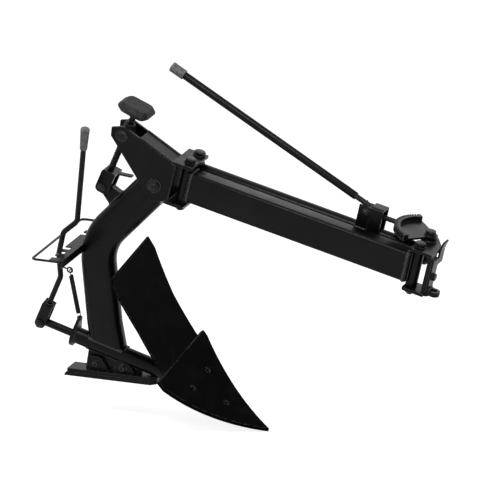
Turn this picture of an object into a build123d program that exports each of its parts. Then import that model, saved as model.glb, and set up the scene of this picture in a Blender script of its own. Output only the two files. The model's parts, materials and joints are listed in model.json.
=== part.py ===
from build123d import *
from math import asin, atan2, cos, degrees, radians, sin, tan
import os

os.makedirs("parts", exist_ok=True)

# Reversible single-furrow mouldboard plough for a walking tractor.
# Millimetres and degrees. +X runs forwards to the hitch, +Y to the left, +Z up, and the sole lies
# level. The origin is the middle of the hitch pin bore.

# ---------------------------------------------------------------- driving dimensions
pin_fit = 0.05             # radial running clearance of every pin and shaft
side_play = 0.5            # end play of a barrel between its plates
pin_r = 8.0                # upright pins and leg pivot
bolt_head_wide = 26.0      # across flats
bolt_head_tall = 9.0
small_pin_r = 5.0          # lever, heel and turning yoke bolts
small_head_wide = 17.0
small_head_tall = 6.5

# Hitch bracket
hitch_bore_r = 8.5
tongue_thick = 13.0
tongue_width = 34.0
tongue_nose = 16.0         # bore's axis to the tongue's front end
tongue_reach = 62.0        # front pin's axis to the hitch bore, along the beam
tongue_drop = 48.5         # beam's axis down to the middle of the hitch bore
bracket_plate = 8.0
bracket_back = 15.0        # plates' rear edge behind the pins
bracket_front = 45.0       # plates' front edge ahead of the pins
bracket_near = 30.0        # plates' edge beyond the beam pin, and the bottom plate's other edge
bracket_far = 28.0         # top plate's edge beyond the link pin
bracket_shoulder = 40.0    # top plate's front edge ends this far to the left of the beam pin
web_far = 12.0             # web's edge to the left of the beam pin
face_plate = 6.0
face_plate_wide = 37.0
face_plate_right = 1.5     # plate's middle to the right of the bore
face_plate_up = 40.0
guide_thick = 5.0
guide_wide = 30.0
guide_left = 35.0          # guide's middle to the left of the beam pin
guide_low = 19.0           # guide's ends and its bend above the beam's axis
guide_bend = 58.0
guide_top = 80.0
guide_lean = 5.0           # guide's top ahead of its foot

# Parallel beam: a main tube and a link tube between upright pins
beam_pitch = 13.4          # the beam runs down to the hitch by this angle
beam_length = 634.0        # pin to pin
beam_deep = 80.0
beam_wide = 50.0
beam_wall = 4.0
beam_corner = 9.0
tube_set_back = 12.0       # tubes' ends from their pins' axes
end_plate = 6.0
link_offset = 62.0         # link pins stand this far to the left of the beam pins
link_rise = 22.0           # link tube's axis above the beam's
link_r = 17.0
link_wall = 3.0
barrel_r = 15.0
barrel_half = 49.5         # half of a barrel's length

# Toothed sector on the hitch bracket, round the link pin
sector_r = 94.0
sector_rim = 15.0
sector_rim_tall = 17.0
sector_plate = 6.0
sector_boss_r = 20.0
sector_boss_tall = 7.0
sector_half = 54.0         # degrees to either side of its middle
sector_middle = 187.6      # direction of the sector's middle, nearly straight back
sector_teeth = 24
tooth_gap = 4.0
tooth_deep = 7.0
tooth_tall = 14.0

# Width lever on the link tube
lever_pivot_back = 171.0   # behind the front pins
lever_pivot_up = 76.0      # above the beam's axis
block_long = 22.0
block_tall = 24.0
block_wide = 18.0
ear_thick = 6.0
ear_play = 1.0
ear_long = 33.0
strap_wide = 34.0
strap_thick = 5.0
strap_back = 143.0         # strap's middle behind the front pins
strap_top = 95.0           # above the beam's axis
ear_top = 89.0
strap_skirt = 4.0          # strap's legs reach this far below the link tube's axis
pawl_r = 6.5
pawl_up = 71.0             # above the beam's axis
pawl_gap = 3.0             # between the pawl's tip and the teeth
lever_slope = 16.3         # lever's rise above the beam's line
lever_tube_r = 10.0
lever_tube_wall = 2.5
lever_tube_long = 560.0
lever_neck_r = 7.0
lever_neck_back = 212.0    # lever tube's lower end behind the front pins
lever_neck_up = 99.5
grip_r = 13.5
grip_long = 40.0
grip_over = 30.0           # length of lever tube inside the grip

# Head that carries the leg
head_plate = 8.0
head_gap = 1.0             # between the leg and a side plate
head_web_back = 27.0       # side plates' front edge behind the rear pins
head_front = 19.0          # top and bottom plates' front edge ahead of the rear pins
head_far = 17.0            # plates' edge beyond the link pin
head_corner_over = 0.5     # side plates' front upper corner above the top plate's underside
head_heel = (66.0, 66.0)   # lower rear corner of the side plates, back and down
leg_pivot_back = 67.9      # leg pivot from the rear beam pin
leg_pivot_drop = 21.4
trunnion_nose_r = 24.0
nose_corners = [(-31.5, 13.0), (-28.4, -9.1), (-9.1, -26.2)]  # rear of the nose, from the trunnion
bridge_long = 104.0
bridge_thick = 8.0

# Depth screw. The trunnion and the yoke pin are as far from the leg pivot as each other, so the
# screw turns by exactly half of the leg's angle.
depth_radius = 148.5
trunnion_angle = 125.7     # direction of the trunnion from the leg pivot
yoke_angle = 189.7         # direction of the yoke pin from the leg pivot
screw_r = 9.0
screw_over = 58.0          # trunnion's axis to the knob's underside
trunnion_r = 17.0
trunnion_half = 22.0
journal_r = 11.5
journal_proud = 3.0
collar_r = 14.0
collar_tall = 9.0
yoke_half = 25.0
yoke_plate = 6.0
yoke_rise = 48.0           # yoke's top above its pin
yoke_fore = 22.0
yoke_aft = 15.0
yoke_drop = 13.0
yoke_corner = 8.0
tab_long = 38.0
tab_wide = 18.0
tab_thick = 4.0
tab_dip = 5.0              # degrees
knob_r = 52.0
knob_tall = 24.0
knob_lobe_r = 24.0
knob_bevel = 10.5

# Gooseneck leg
leg_deep = 90.0
leg_behind = 7.0           # middle of the section behind the centreline
leg_wide = 50.0
leg_wall = 5.0
leg_corner = 22.0
leg_slope = 46.5           # upper part's slope
leg_upper = 238.4          # knee of the centreline to a point square under the pivot
leg_pivot_over = 7.4       # pivot above the centreline
leg_top_over = 24.0        # tube's upper end beyond the pivot
leg_bend_r = 120.0
leg_lean = 5.7             # lower part's lean from upright
leg_lower = 278.6          # knee to the shaft's axis
leg_front_cut = 20.5       # leg's front is cut off this far ahead of the pivot, clear of the web
foot_deep = 92.0           # depth of the leg's foot
foot_behind = 2.0          # middle of the foot behind the centreline
leg_flare_tall = 70.0
foot_up = 16.0             # foot's underside above the shaft's axis
foot_floor = 8.0
pivot_bush_r = 15.0
lug_half = 10.0
lug_boss_half = 18.0
lug_boss_r = 13.0
lug_base = 44.0

# Bearing tube and shaft
shaft_pitch = 16.1         # the shaft runs down forwards
bearing_r = 21.0
bearing_bore_r = 14.0
bearing_back = 101.7       # behind the leg's centreline
bearing_front = 148.0
flange_r = 30.0
flange_thick = 8.0
flange_ear_up = 43.0
flange_ear_r = 9.0
flange_ear_bore = 4.0
shaft_front = 216.0
stub_r = 10.0
stub_over = 12.0           # shaft's rear end beyond the cross pin
cross_pin_back = 190.0

# Foot and sole, measured back from the leg pivot and down from the shaft
foot_thick = 10.0
foot_rear = 194.0
foot_rear_top = 184.0
foot_front = 46.0
sole_under = 74.8          # sole's underside below the shaft's axis at the leg
sole_layer = 10.0
sole_half = 27.0
sole_rear = 246.0
sole_front = 0.0
heel_short = 10.0          # heel bar's rear end ahead of the sole plate's
sole_rear_bevel = 6.5
sole_nose = 14.0
heel_bolts = [(164.0, 16.0), (92.0, 12.0)]  # behind the pivot, above the heel bar's top
heel_ear_r = 19.0
heel_ear_base = (25.0, 33.0)  # behind and ahead of the bolt
heel_ear_over = 2.0        # ear's large round ahead of its bolt
heel_ear_back = 15.0       # ear's small round behind and above its bolt
heel_ear_up = 11.0
heel_ear_back_r = 8.0

# Turning comb and guard, measured back and down from the leg pivot
comb_top = 182.0
comb_thick = 3.5
comb_front = 196.0
comb_rear = 231.0
comb_half = 168.0
comb_flange = 20.0
slot_wide = 21.0
slot_deep = 18.5
slots_at = [62.0, 98.0, 134.0]
guard_r = 3.2
guard_back = 275.0
guard_bend_r = 12.0

# Rolling plough body: profile points are along and above the shaft from the leg's centreline
roll = 13.3                # the body leans to the right by this angle at rest
mould_thick = 6.0
mould_top = (2.8, 290.0)
mould_mid = (100.8, 158.0)
mould_low = (185.8, 67.0)
mould_half_top = 107.0
mould_half_wing = 117.0
mould_half_low = 102.0
wing_drop = 30.0
share_thick = 10.0
share_joint = 1.0
share_mid = (306.0, -8.0)
share_tip = (451.8, -39.0)
share_half = 133.0
share_shoulder = 200.0
frog_thick = 12.0
seat_thick = 8.0
frog_collar_r = 24.0
frog_collar_long = 34.0
mould_seat = (0.42, 1.0)   # seat's ends, as shares of the mouldboard's and the share's lengths
share_seat = (0.0, 0.66)
seat_taper = [(0.0, 66.0), (262.0, 66.0), (378.0, 14.0)]  # along the shaft, half width

# Turning lever
turn_lean = 9.0            # lever's lower part leans forwards
turn_yoke_half = 16.0
turn_yoke_plate = 5.0
turn_yoke_rise = 60.0
turn_yoke_long = 28.0
turn_yoke_nose = 14.0
turn_lever_r = 7.0
# Bends of the lever above its cross pin and ahead of it: it passes behind the comb and then comes
# forwards again.
turn_bends = [(150.0, 23.76), (214.0, 6.5), (282.0, 6.5), (330.0, 36.0)]
turn_top = (602.0, 7.0)
turn_bend_r = 30.0
turn_grip_r = 9.5
turn_grip_top_r = 12.0
turn_grip_long = 62.0
turn_grip_cap = 8.0
eye_up = 180.0             # spring eye above and ahead of the cross pin
eye_ahead = 44.0
eye_lever_ahead = 17.5
eye_r = 9.0
eye_wire_r = 2.5
spring_r = 6.0
spring_hook_r = 2.0
spring_hook = 18.0         # from each hook's ring to the coil
spring_play = 1.0


# ---------------------------------------------------------------- frames
def direction(angle):
    """Unit vector in the side view, at an angle above +X."""
    return Vector(cos(radians(angle)), 0, sin(radians(angle)))


def tilted(origin, pitch):
    """Frame whose x runs forwards and down by the pitch, with y to the left."""
    return Plane(origin=origin, x_dir=direction(-pitch), z_dir=direction(90 - pitch))


def moved(frame, x=0.0, y=0.0, z=0.0):
    """The same frame, its origin moved along its own axes."""
    origin = frame.origin + frame.x_dir * x + frame.y_dir * y + frame.z_dir * z
    return Plane(origin=origin, x_dir=frame.x_dir, z_dir=frame.z_dir)


def side(frame, x=0.0, y=0.0, z=0.0):
    """Side view of a frame: sketch x is its x, sketch y is its z, and the normal is its -y."""
    return Plane(origin=moved(frame, x, y, z).origin, x_dir=frame.x_dir, z_dir=frame.y_dir * -1)


def across(frame, x=0.0, y=0.0, z=0.0):
    """View along a frame: sketch x is its y, sketch y is its z, and the normal is its x."""
    return Plane(origin=moved(frame, x, y, z).origin, x_dir=frame.y_dir, z_dir=frame.x_dir)


def leaned(frame, angle):
    """The same frame with its z leaning forwards by the angle."""
    turn = radians(angle)
    return Plane(
        origin=frame.origin,
        x_dir=frame.x_dir * cos(turn) - frame.z_dir * sin(turn),
        z_dir=frame.z_dir * cos(turn) + frame.x_dir * sin(turn),
    )


def in_frame(frame, point):
    """A point's place along the frame's x and z."""
    apart = point - frame.origin
    return apart.dot(frame.x_dir), apart.dot(frame.z_dir)


def polar(radius, angle):
    """Sketch point at a radius and an angle."""
    return radius * cos(radians(angle)), radius * sin(radians(angle))


bracket = tilted(direction(90 - beam_pitch) * tongue_drop - direction(-beam_pitch) * tongue_reach, beam_pitch)
link_front = moved(bracket, y=link_offset)
head = moved(bracket, x=-beam_length)
link_rear = moved(head, y=link_offset)

leg_pivot = moved(head, x=-leg_pivot_back, z=-leg_pivot_drop).origin
level = Plane(origin=leg_pivot, x_dir=(1, 0, 0), z_dir=(0, 0, 1))
trunnion_at = leg_pivot + direction(trunnion_angle) * depth_radius
yoke_at = leg_pivot + direction(yoke_angle) * depth_radius
screw_way = trunnion_at - yoke_at
screw_angle = degrees(atan2(screw_way.Z, screw_way.X))
screw_span = screw_way.length
screw_foot = tilted(yoke_at, 90 - screw_angle)      # z runs up the screw from the yoke pin
screw_top = moved(screw_foot, z=screw_span)         # the same frame at the trunnion

leg_square = direction(90 + leg_slope)
leg_knee = leg_pivot - leg_square * leg_pivot_over - direction(leg_slope) * leg_upper
leg_down = direction(leg_lean - 90)
shaft_at = leg_knee + leg_down * leg_lower
shaft = tilted(shaft_at, shaft_pitch)
body = Plane(
    origin=shaft_at,
    x_dir=shaft.x_dir,
    z_dir=shaft.z_dir * cos(radians(roll)) - shaft.y_dir * sin(radians(roll)),
)
cross_pin = moved(body, x=-cross_pin_back)
lever_root = leaned(cross_pin, turn_lean)

plate_in = barrel_half + side_play                  # inner faces of the plates over the barrels


# ---------------------------------------------------------------- shapes used more than once
def rod(frame, radius, low, high, mode=Mode.ADD):
    """Round bar, or bore, along a frame's z."""
    with BuildSketch(frame.offset(low)) as section:
        Circle(radius)
    extrude(section.sketch, amount=high - low, mode=mode)


def hex_end(frame, wide, low, tall):
    """Hexagon head or nut along a frame's z."""
    with BuildSketch(frame.offset(low)) as section:
        RegularPolygon(wide / 2, 6, major_radius=False)
    extrude(section.sketch, amount=tall)


def bolt(frame, radius, low, high, wide, tall):
    """Bolt through the grip from low to high, with its head above and its nut below."""
    rod(frame, radius, low, high)
    hex_end(frame, wide, high, tall)
    hex_end(frame, wide, low - tall, tall)


def bar(plane, wide, tall, thick, mode=Mode.ADD, both=False):
    """Rectangular bar centred on a plane's origin."""
    with BuildSketch(plane) as section:
        Rectangle(wide, tall)
    extrude(section.sketch, amount=thick, both=both, mode=mode)


def sheet_centre(start, middle, end):
    """Centre of the circle through three profile points."""
    (ax, ay), (bx, by), (cx, cy) = start, middle, end
    d = 2 * (ax * (by - cy) + bx * (cy - ay) + cx * (ay - by))
    a, b, c = ax * ax + ay * ay, bx * bx + by * by, cx * cx + cy * cy
    return (a * (by - cy) + b * (cy - ay) + c * (ay - by)) / d, (a * (cx - bx) + b * (ax - cx) + c * (bx - ax)) / d


def behind(point, centre, depth):
    """The profile point moved away from the sheet's centre of curvature."""
    way = Vector(point[0] - centre[0], point[1] - centre[1])
    out = Vector(*centre) + way.normalized() * (way.length + depth)
    return out.X, out.Y


def stretch(points, first, last):
    """Three points of a sheet's profile between two shares of its length."""
    centre = sheet_centre(*points)
    start = degrees(atan2(points[0][1] - centre[1], points[0][0] - centre[0]))
    end = degrees(atan2(points[2][1] - centre[1], points[2][0] - centre[0]))
    turn = (end - start + 180) % 360 - 180
    radius = Vector(points[0][0] - centre[0], points[0][1] - centre[1]).length
    places = [polar(radius, start + turn * part) for part in (first, (first + last) / 2, last)]
    return [(centre[0] + x, centre[1] + y) for x, y in places]


def curved_sheet(points, front, back, half):
    """Part of a sheet between two depths behind its face, to both sides of the body's middle."""
    centre = sheet_centre(*points)
    near = [behind(p, centre, front) for p in points]
    far = [behind(p, centre, back) for p in points]
    with BuildSketch(side(body)) as section:
        with BuildLine():
            ThreePointArc(*near)
            Line(near[2], far[2])
            ThreePointArc(*far[::-1])
            Line(far[0], near[0])
        make_face()
    extrude(section.sketch, amount=half, both=True)


# ---------------------------------------------------------------- hitch bracket
with BuildPart() as hitch_top_plate:
    with BuildSketch(bracket.offset(plate_in)):
        Polygon(
            (-bracket_back, -bracket_near),
            (bracket_front, -bracket_near),
            (bracket_front, bracket_shoulder),
            (bracket_back, link_offset + bracket_far),
            (-bracket_back, link_offset + bracket_far),
            align=None,
        )
        fillet(vertices().group_by(Axis.X)[0], bracket_plate)
        with Locations((0, 0), (0, link_offset)):
            Circle(pin_r + pin_fit, mode=Mode.SUBTRACT)
    extrude(amount=bracket_plate)
hitch_top_plate.part.label = "hitch_top_plate"
export_step(hitch_top_plate.part, "parts/hitch_top_plate.step")

with BuildPart() as hitch_bottom_plate:
    with BuildSketch(bracket.offset(-plate_in - bracket_plate)):
        with Locations(((bracket_front - bracket_back) / 2, 0)):
            Rectangle(bracket_front + bracket_back, 2 * bracket_near)
        fillet(vertices().group_by(Axis.X)[0], bracket_plate)
        Circle(pin_r + pin_fit, mode=Mode.SUBTRACT)
    extrude(amount=bracket_plate)
hitch_bottom_plate.part.label = "hitch_bottom_plate"
export_step(hitch_bottom_plate.part, "parts/hitch_bottom_plate.step")

with BuildPart() as hitch_web:
    bar(
        across(bracket, x=bracket_front - bracket_plate, y=(web_far - bracket_near) / 2),
        web_far + bracket_near,
        2 * plate_in,
        bracket_plate,
    )
hitch_web.part.label = "hitch_web"
export_step(hitch_web.part, "parts/hitch_web.step")

face_low = -plate_in - bracket_plate
with BuildPart() as hitch_tongue:
    bar(
        across(bracket, x=bracket_front, y=-face_plate_right, z=(face_plate_up + face_low) / 2),
        face_plate_wide,
        face_plate_up - face_low,
        face_plate,
    )
    with BuildSketch(bracket.offset(-tongue_drop - tongue_thick / 2)):
        with Locations(((bracket_front + tongue_reach) / 2, 0)):
            Rectangle(tongue_reach - bracket_front, tongue_width)
        with Locations((tongue_reach, 0)):
            Rectangle(2 * tongue_nose, tongue_width)
        fillet(vertices().group_by(Axis.X)[-1], tongue_nose)
    extrude(amount=tongue_thick)
    rod(moved(bracket, x=tongue_reach), hitch_bore_r, -tongue_drop - tongue_thick, 0, mode=Mode.SUBTRACT)
hitch_tongue.part.label = "hitch_tongue"
export_step(hitch_tongue.part, "parts/hitch_tongue.step")

with BuildPart() as hitch_guide:
    with BuildSketch(side(bracket, x=bracket_front, y=guide_left)):
        with BuildLine():
            FilletPolyline(
                (guide_thick / 2, guide_low),
                (guide_thick / 2, guide_bend),
                (guide_thick / 2 + guide_lean, guide_top),
                radius=4 * guide_thick,
            )
        trace(line_width=guide_thick)
    extrude(amount=guide_wide / 2, both=True)
hitch_guide.part.label = "hitch_guide"
export_step(hitch_guide.part, "parts/hitch_guide.step")

plate_out = plate_in + bracket_plate
link_low = link_rise - link_r                       # underside of the link tube and its front barrel
sector_low = plate_out + sector_boss_tall
sector_top = sector_low + sector_plate
with BuildPart() as front_beam_pin:
    bolt(bracket, pin_r, -plate_out, plate_out, bolt_head_wide, bolt_head_tall)
front_beam_pin.part.label = "front_beam_pin"
export_step(front_beam_pin.part, "parts/front_beam_pin.step")

with BuildPart() as front_link_pin:
    bolt(link_front, pin_r, link_low - side_play, sector_top, bolt_head_wide, bolt_head_tall)
front_link_pin.part.label = "front_link_pin"
export_step(front_link_pin.part, "parts/front_link_pin.step")


# ---------------------------------------------------------------- toothed sector
def sector_wedge():
    """The fan of the sector between its two straight edges."""
    Polygon(
        (0, sector_boss_r),
        polar(2 * sector_r, sector_middle - sector_half),
        polar(2 * sector_r, sector_middle + sector_half),
        (0, -sector_boss_r),
        align=None,
        mode=Mode.INTERSECT,
    )


with BuildPart() as sector:
    rod(link_front, sector_boss_r, plate_out, sector_top)
    with BuildSketch(link_front.offset(sector_low)):
        Circle(sector_r)
        sector_wedge()
    extrude(amount=sector_plate)
    with BuildSketch(link_front.offset(sector_low)):
        Circle(sector_r)
        Circle(sector_r - sector_rim, mode=Mode.SUBTRACT)
        sector_wedge()
    extrude(amount=sector_rim_tall)
    tooth_step = 2 * sector_half / sector_teeth
    with BuildSketch(link_front.offset(sector_low + sector_rim_tall - tooth_tall)):
        first_gap = sector_middle - sector_half + tooth_step / 2
        with PolarLocations(sector_r, sector_teeth, first_gap, 2 * sector_half - tooth_step, endpoint=True):
            Rectangle(2 * tooth_deep, tooth_gap)
    extrude(amount=tooth_tall, mode=Mode.SUBTRACT)
    rod(link_front, pin_r + pin_fit, plate_out, sector_top, mode=Mode.SUBTRACT)
sector.part.label = "sector"
export_step(sector.part, "parts/sector.step")


# ---------------------------------------------------------------- parallel beam
tube_long = beam_length - 2 * (tube_set_back + end_plate)
with BuildPart() as beam_tube:
    with BuildSketch(across(bracket, x=-tube_set_back - end_plate - tube_long)):
        RectangleRounded(beam_wide, beam_deep, beam_corner)
        RectangleRounded(
            beam_wide - 2 * beam_wall, beam_deep - 2 * beam_wall, beam_corner - beam_wall, mode=Mode.SUBTRACT
        )
    extrude(amount=tube_long)
beam_tube.part.label = "beam_tube"
export_step(beam_tube.part, "parts/beam_tube.step")


def beam_end(frame, ahead):
    """Barrel with the plate that closes the beam tube; the tube lies ahead (+1) or behind (-1)."""
    rod(frame, barrel_r, -barrel_half, barrel_half)
    with BuildSketch(across(frame, x=ahead * (tube_set_back + end_plate / 2))) as section:
        RectangleRounded(beam_wide, beam_deep, beam_corner)
    extrude(section.sketch, amount=end_plate / 2, both=True)
    rod(frame, pin_r + pin_fit, -barrel_half, barrel_half, mode=Mode.SUBTRACT)


with BuildPart() as beam_front_barrel:
    beam_end(bracket, -1)
beam_front_barrel.part.label = "beam_front_barrel"
export_step(beam_front_barrel.part, "parts/beam_front_barrel.step")

with BuildPart() as beam_rear_barrel:
    beam_end(head, 1)
beam_rear_barrel.part.label = "beam_rear_barrel"
export_step(beam_rear_barrel.part, "parts/beam_rear_barrel.step")

with BuildPart() as link_tube:
    with BuildSketch(across(link_rear, x=tube_set_back, z=link_rise)):
        Circle(link_r)
        Circle(link_r - link_wall, mode=Mode.SUBTRACT)
    extrude(amount=beam_length - 2 * tube_set_back)
    rod(link_front, barrel_r, -barrel_half, barrel_half, mode=Mode.SUBTRACT)
    rod(link_rear, barrel_r, -barrel_half, barrel_half, mode=Mode.SUBTRACT)
link_tube.part.label = "link_tube"
export_step(link_tube.part, "parts/link_tube.step")


def link_barrel(frame, low):
    """Plain barrel of the link tube, from a height up."""
    rod(frame, barrel_r, low, barrel_half)
    rod(frame, pin_r + pin_fit, low, barrel_half, mode=Mode.SUBTRACT)


with BuildPart() as link_front_barrel:
    link_barrel(link_front, link_low)
link_front_barrel.part.label = "link_front_barrel"
export_step(link_front_barrel.part, "parts/link_front_barrel.step")

with BuildPart() as link_rear_barrel:
    link_barrel(link_rear, -barrel_half)
link_rear_barrel.part.label = "link_rear_barrel"
export_step(link_rear_barrel.part, "parts/link_rear_barrel.step")


# ---------------------------------------------------------------- width lever's mounting
link_axis = moved(link_front, z=link_rise)
lever_pivot = moved(link_front, x=-lever_pivot_back, z=lever_pivot_up)
lever_pivot_cross = Plane(origin=lever_pivot.origin, x_dir=bracket.x_dir, z_dir=bracket.y_dir)
ear_in = block_wide / 2 + ear_play
ear_out = ear_in + ear_thick
strap_half = link_r + strap_thick
ear_front = -strap_back - strap_wide / 2

with BuildPart() as lever_ears:
    for ear_side in (-1, 1):
        with BuildSketch(side(link_axis, x=ear_front - ear_long / 2, y=ear_side * (ear_in + ear_thick / 2))):
            with Locations((0, (ear_top - link_rise) / 2)):
                Rectangle(ear_long, ear_top - link_rise)
        extrude(amount=ear_thick / 2, both=True)
    with BuildSketch(across(link_axis, x=ear_front - ear_long)):
        Circle(link_r)
    extrude(amount=ear_long, mode=Mode.SUBTRACT)
    rod(lever_pivot_cross, small_pin_r + pin_fit, -ear_out, ear_out, mode=Mode.SUBTRACT)
lever_ears.part.label = "lever_ears"
export_step(lever_ears.part, "parts/lever_ears.step")

with BuildPart() as lever_strap:
    strap_tall = strap_top - link_rise + strap_skirt
    with BuildSketch(across(link_axis, x=-strap_back - strap_wide / 2, z=-strap_skirt)):
        with Locations((0, strap_tall / 2)):
            Rectangle(2 * strap_half, strap_tall)
        fillet(vertices().group_by(Axis.Y)[-1], strap_thick + 3)
        with Locations((0, (strap_tall - strap_thick) / 2)):
            Rectangle(2 * link_r, strap_tall - strap_thick, mode=Mode.SUBTRACT)
    extrude(amount=strap_wide)
lever_strap.part.label = "lever_strap"
export_step(lever_strap.part, "parts/lever_strap.step")

with BuildPart() as lever_pin:
    bolt(lever_pivot_cross, small_pin_r, -ear_out, ear_out, small_head_wide, small_head_tall)
lever_pin.part.label = "lever_pin"
export_step(lever_pin.part, "parts/lever_pin.step")

lever_line = Plane(
    origin=moved(link_front, x=-lever_neck_back, z=lever_neck_up).origin,
    x_dir=bracket.y_dir,
    z_dir=bracket.x_dir * -cos(radians(lever_slope)) + bracket.z_dir * sin(radians(lever_slope)),
)
with BuildPart() as pawl_lever:
    bar(side(lever_pivot), block_long, block_tall, block_wide / 2, both=True)
    rod(lever_line, lever_neck_r, -(lever_neck_back - lever_pivot_back), 0)
    with BuildSketch(across(link_front, x=-lever_pivot_back, z=pawl_up)):
        Circle(pawl_r)
    extrude(amount=lever_pivot_back - sector_r - pawl_gap)
    rod(lever_pivot_cross, small_pin_r + pin_fit, -block_wide, block_wide, mode=Mode.SUBTRACT)
pawl_lever.part.label = "pawl_lever"
export_step(pawl_lever.part, "parts/pawl_lever.step")

with BuildPart() as width_lever_tube:
    rod(lever_line, lever_tube_r, 0, lever_tube_long)
    rod(lever_line, lever_tube_r - lever_tube_wall, lever_tube_wall, lever_tube_long, mode=Mode.SUBTRACT)
width_lever_tube.part.label = "width_lever_tube"
export_step(width_lever_tube.part, "parts/width_lever_tube.step")

with BuildPart() as width_lever_grip:
    grip_from = lever_tube_long - grip_over
    rod(lever_line, grip_r, grip_from, grip_from + grip_long)
    rod(lever_line, lever_tube_r, grip_from, lever_tube_long, mode=Mode.SUBTRACT)
    fillet(edges().group_by(SortBy.LENGTH)[-1], grip_r - lever_tube_r - 0.5)
width_lever_grip.part.label = "width_lever_grip"
export_step(width_lever_grip.part, "parts/width_lever_grip.step")


# ---------------------------------------------------------------- head
head_rear = -head_web_back - head_plate
head_in = leg_wide / 2 + head_gap
head_out = head_in + head_plate


def head_outline():
    """Top or bottom plate of the head, with its two pin holes."""
    length = head_front - head_rear
    width = head_out + link_offset + head_far
    with Locations(((head_front + head_rear) / 2, (link_offset + head_far - head_out) / 2)):
        Rectangle(length, width)
    with Locations((0, 0), (0, link_offset)):
        Circle(pin_r + pin_fit, mode=Mode.SUBTRACT)


with BuildPart() as head_top_plate:
    with BuildSketch(head.offset(plate_in)):
        head_outline()
    extrude(amount=head_plate)
head_top_plate.part.label = "head_top_plate"
export_step(head_top_plate.part, "parts/head_top_plate.step")

with BuildPart() as head_bottom_plate:
    with BuildSketch(head.offset(-plate_in - head_plate)):
        head_outline()
    extrude(amount=head_plate)
head_bottom_plate.part.label = "head_bottom_plate"
export_step(head_bottom_plate.part, "parts/head_bottom_plate.step")

web_wide = head_in + link_offset + head_far
with BuildPart() as head_web:
    bar(across(head, x=head_rear, y=web_wide / 2 - head_in), web_wide, 2 * plate_in, head_plate)
head_web.part.label = "head_web"
export_step(head_web.part, "parts/head_web.step")

head_corner_up = plate_in + head_corner_over
trunnion_x, trunnion_z = in_frame(head, trunnion_at)
trunnion_cross = Plane(origin=trunnion_at, x_dir=head.x_dir, z_dir=head.y_dir)
pivot_cross = Plane(origin=leg_pivot, x_dir=head.x_dir, z_dir=head.y_dir)


def side_plate(y, front):
    """Triangular side plate whose front edge stands at the given place."""
    with BuildSketch(side(head, y=y)) as section:
        with Locations((trunnion_x, trunnion_z)):
            Circle(trunnion_nose_r)
            Polygon(*nose_corners, align=None)
        Polygon(
            (-head_web_back, head_corner_up),
            (-head_web_back, -plate_in),
            (-head_heel[0], -head_heel[1]),
            align=None,
        )
        make_hull()
        with Locations((front + leg_pivot_back, 0)):
            Rectangle(2 * leg_pivot_back, 4 * leg_pivot_back, mode=Mode.SUBTRACT)
        for corner in (plate_in, -plate_in - head_plate):
            with Locations((0, corner + head_plate / 2)):
                Rectangle(-2 * head_rear, head_plate, mode=Mode.SUBTRACT)
    extrude(section.sketch, amount=-head_plate)
    rod(pivot_cross, pin_r + pin_fit, -head_out, head_out, mode=Mode.SUBTRACT)
    rod(trunnion_cross, journal_r + pin_fit, -head_out, head_out, mode=Mode.SUBTRACT)


with BuildPart() as head_side_right:
    side_plate(-head_out, -head_web_back)
head_side_right.part.label = "head_side_right"
export_step(head_side_right.part, "parts/head_side_right.step")

with BuildPart() as head_side_left:
    side_plate(head_in, head_rear)
head_side_left.part.label = "head_side_left"
export_step(head_side_left.part, "parts/head_side_left.step")

# The bridge lies under the side plates' sloping upper edge, a tangent to their round nose.
corner_way = Vector(trunnion_x + head_web_back, trunnion_z - head_corner_up)
nose_spread = degrees(asin(trunnion_nose_r / corner_way.length))
bridge_slope = degrees(atan2(corner_way.Y, -corner_way.X)) + nose_spread
bridge = leaned(moved(head, x=-head_web_back, z=head_corner_up), bridge_slope)
bridge_start = head_plate / cos(radians(bridge_slope))
with BuildPart() as head_bridge:
    with BuildSketch(side(bridge)):
        with Locations((-bridge_start - bridge_long / 2, -bridge_thick / 2)):
            Rectangle(bridge_long, bridge_thick)
    extrude(amount=head_in, both=True)
head_bridge.part.label = "head_bridge"
export_step(head_bridge.part, "parts/head_bridge.step")

head_plate_out = plate_in + head_plate
with BuildPart() as rear_beam_pin:
    bolt(head, pin_r, -head_plate_out, head_plate_out, bolt_head_wide, bolt_head_tall)
rear_beam_pin.part.label = "rear_beam_pin"
export_step(rear_beam_pin.part, "parts/rear_beam_pin.step")

with BuildPart() as rear_link_pin:
    bolt(link_rear, pin_r, -head_plate_out, head_plate_out, bolt_head_wide, bolt_head_tall)
rear_link_pin.part.label = "rear_link_pin"
export_step(rear_link_pin.part, "parts/rear_link_pin.step")

with BuildPart() as leg_pivot_bolt:
    bolt(pivot_cross, pin_r, -head_out, head_out, bolt_head_wide, bolt_head_tall)
leg_pivot_bolt.part.label = "leg_pivot_bolt"
export_step(leg_pivot_bolt.part, "parts/leg_pivot_bolt.step")


# ---------------------------------------------------------------- depth screw
with BuildPart() as trunnion:
    rod(trunnion_cross, journal_r, -head_out - journal_proud, head_out + journal_proud)
    rod(trunnion_cross, trunnion_r, -trunnion_half, trunnion_half)
    rod(screw_top, collar_r, 0, trunnion_r + collar_tall)
    rod(screw_top, screw_r + pin_fit, -2 * trunnion_r, 2 * trunnion_r, mode=Mode.SUBTRACT)
trunnion.part.label = "trunnion"
export_step(trunnion.part, "parts/trunnion.step")

with BuildPart() as depth_screw:
    rod(screw_foot, screw_r, yoke_rise, screw_span + screw_over)
depth_screw.part.label = "depth_screw"
export_step(depth_screw.part, "parts/depth_screw.step")

with BuildPart() as depth_knob:
    with BuildSketch(screw_top.offset(screw_over)):
        with PolarLocations(knob_r - knob_lobe_r, 4, 45):
            Circle(knob_lobe_r)
        make_hull()
    extrude(amount=knob_tall)
    knob_faces = faces().sort_by(Axis(screw_top.origin, screw_top.z_dir))
    chamfer(knob_faces[0].edges() + knob_faces[-1].edges(), knob_bevel)
depth_knob.part.label = "depth_knob"
export_step(depth_knob.part, "parts/depth_knob.step")

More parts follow.
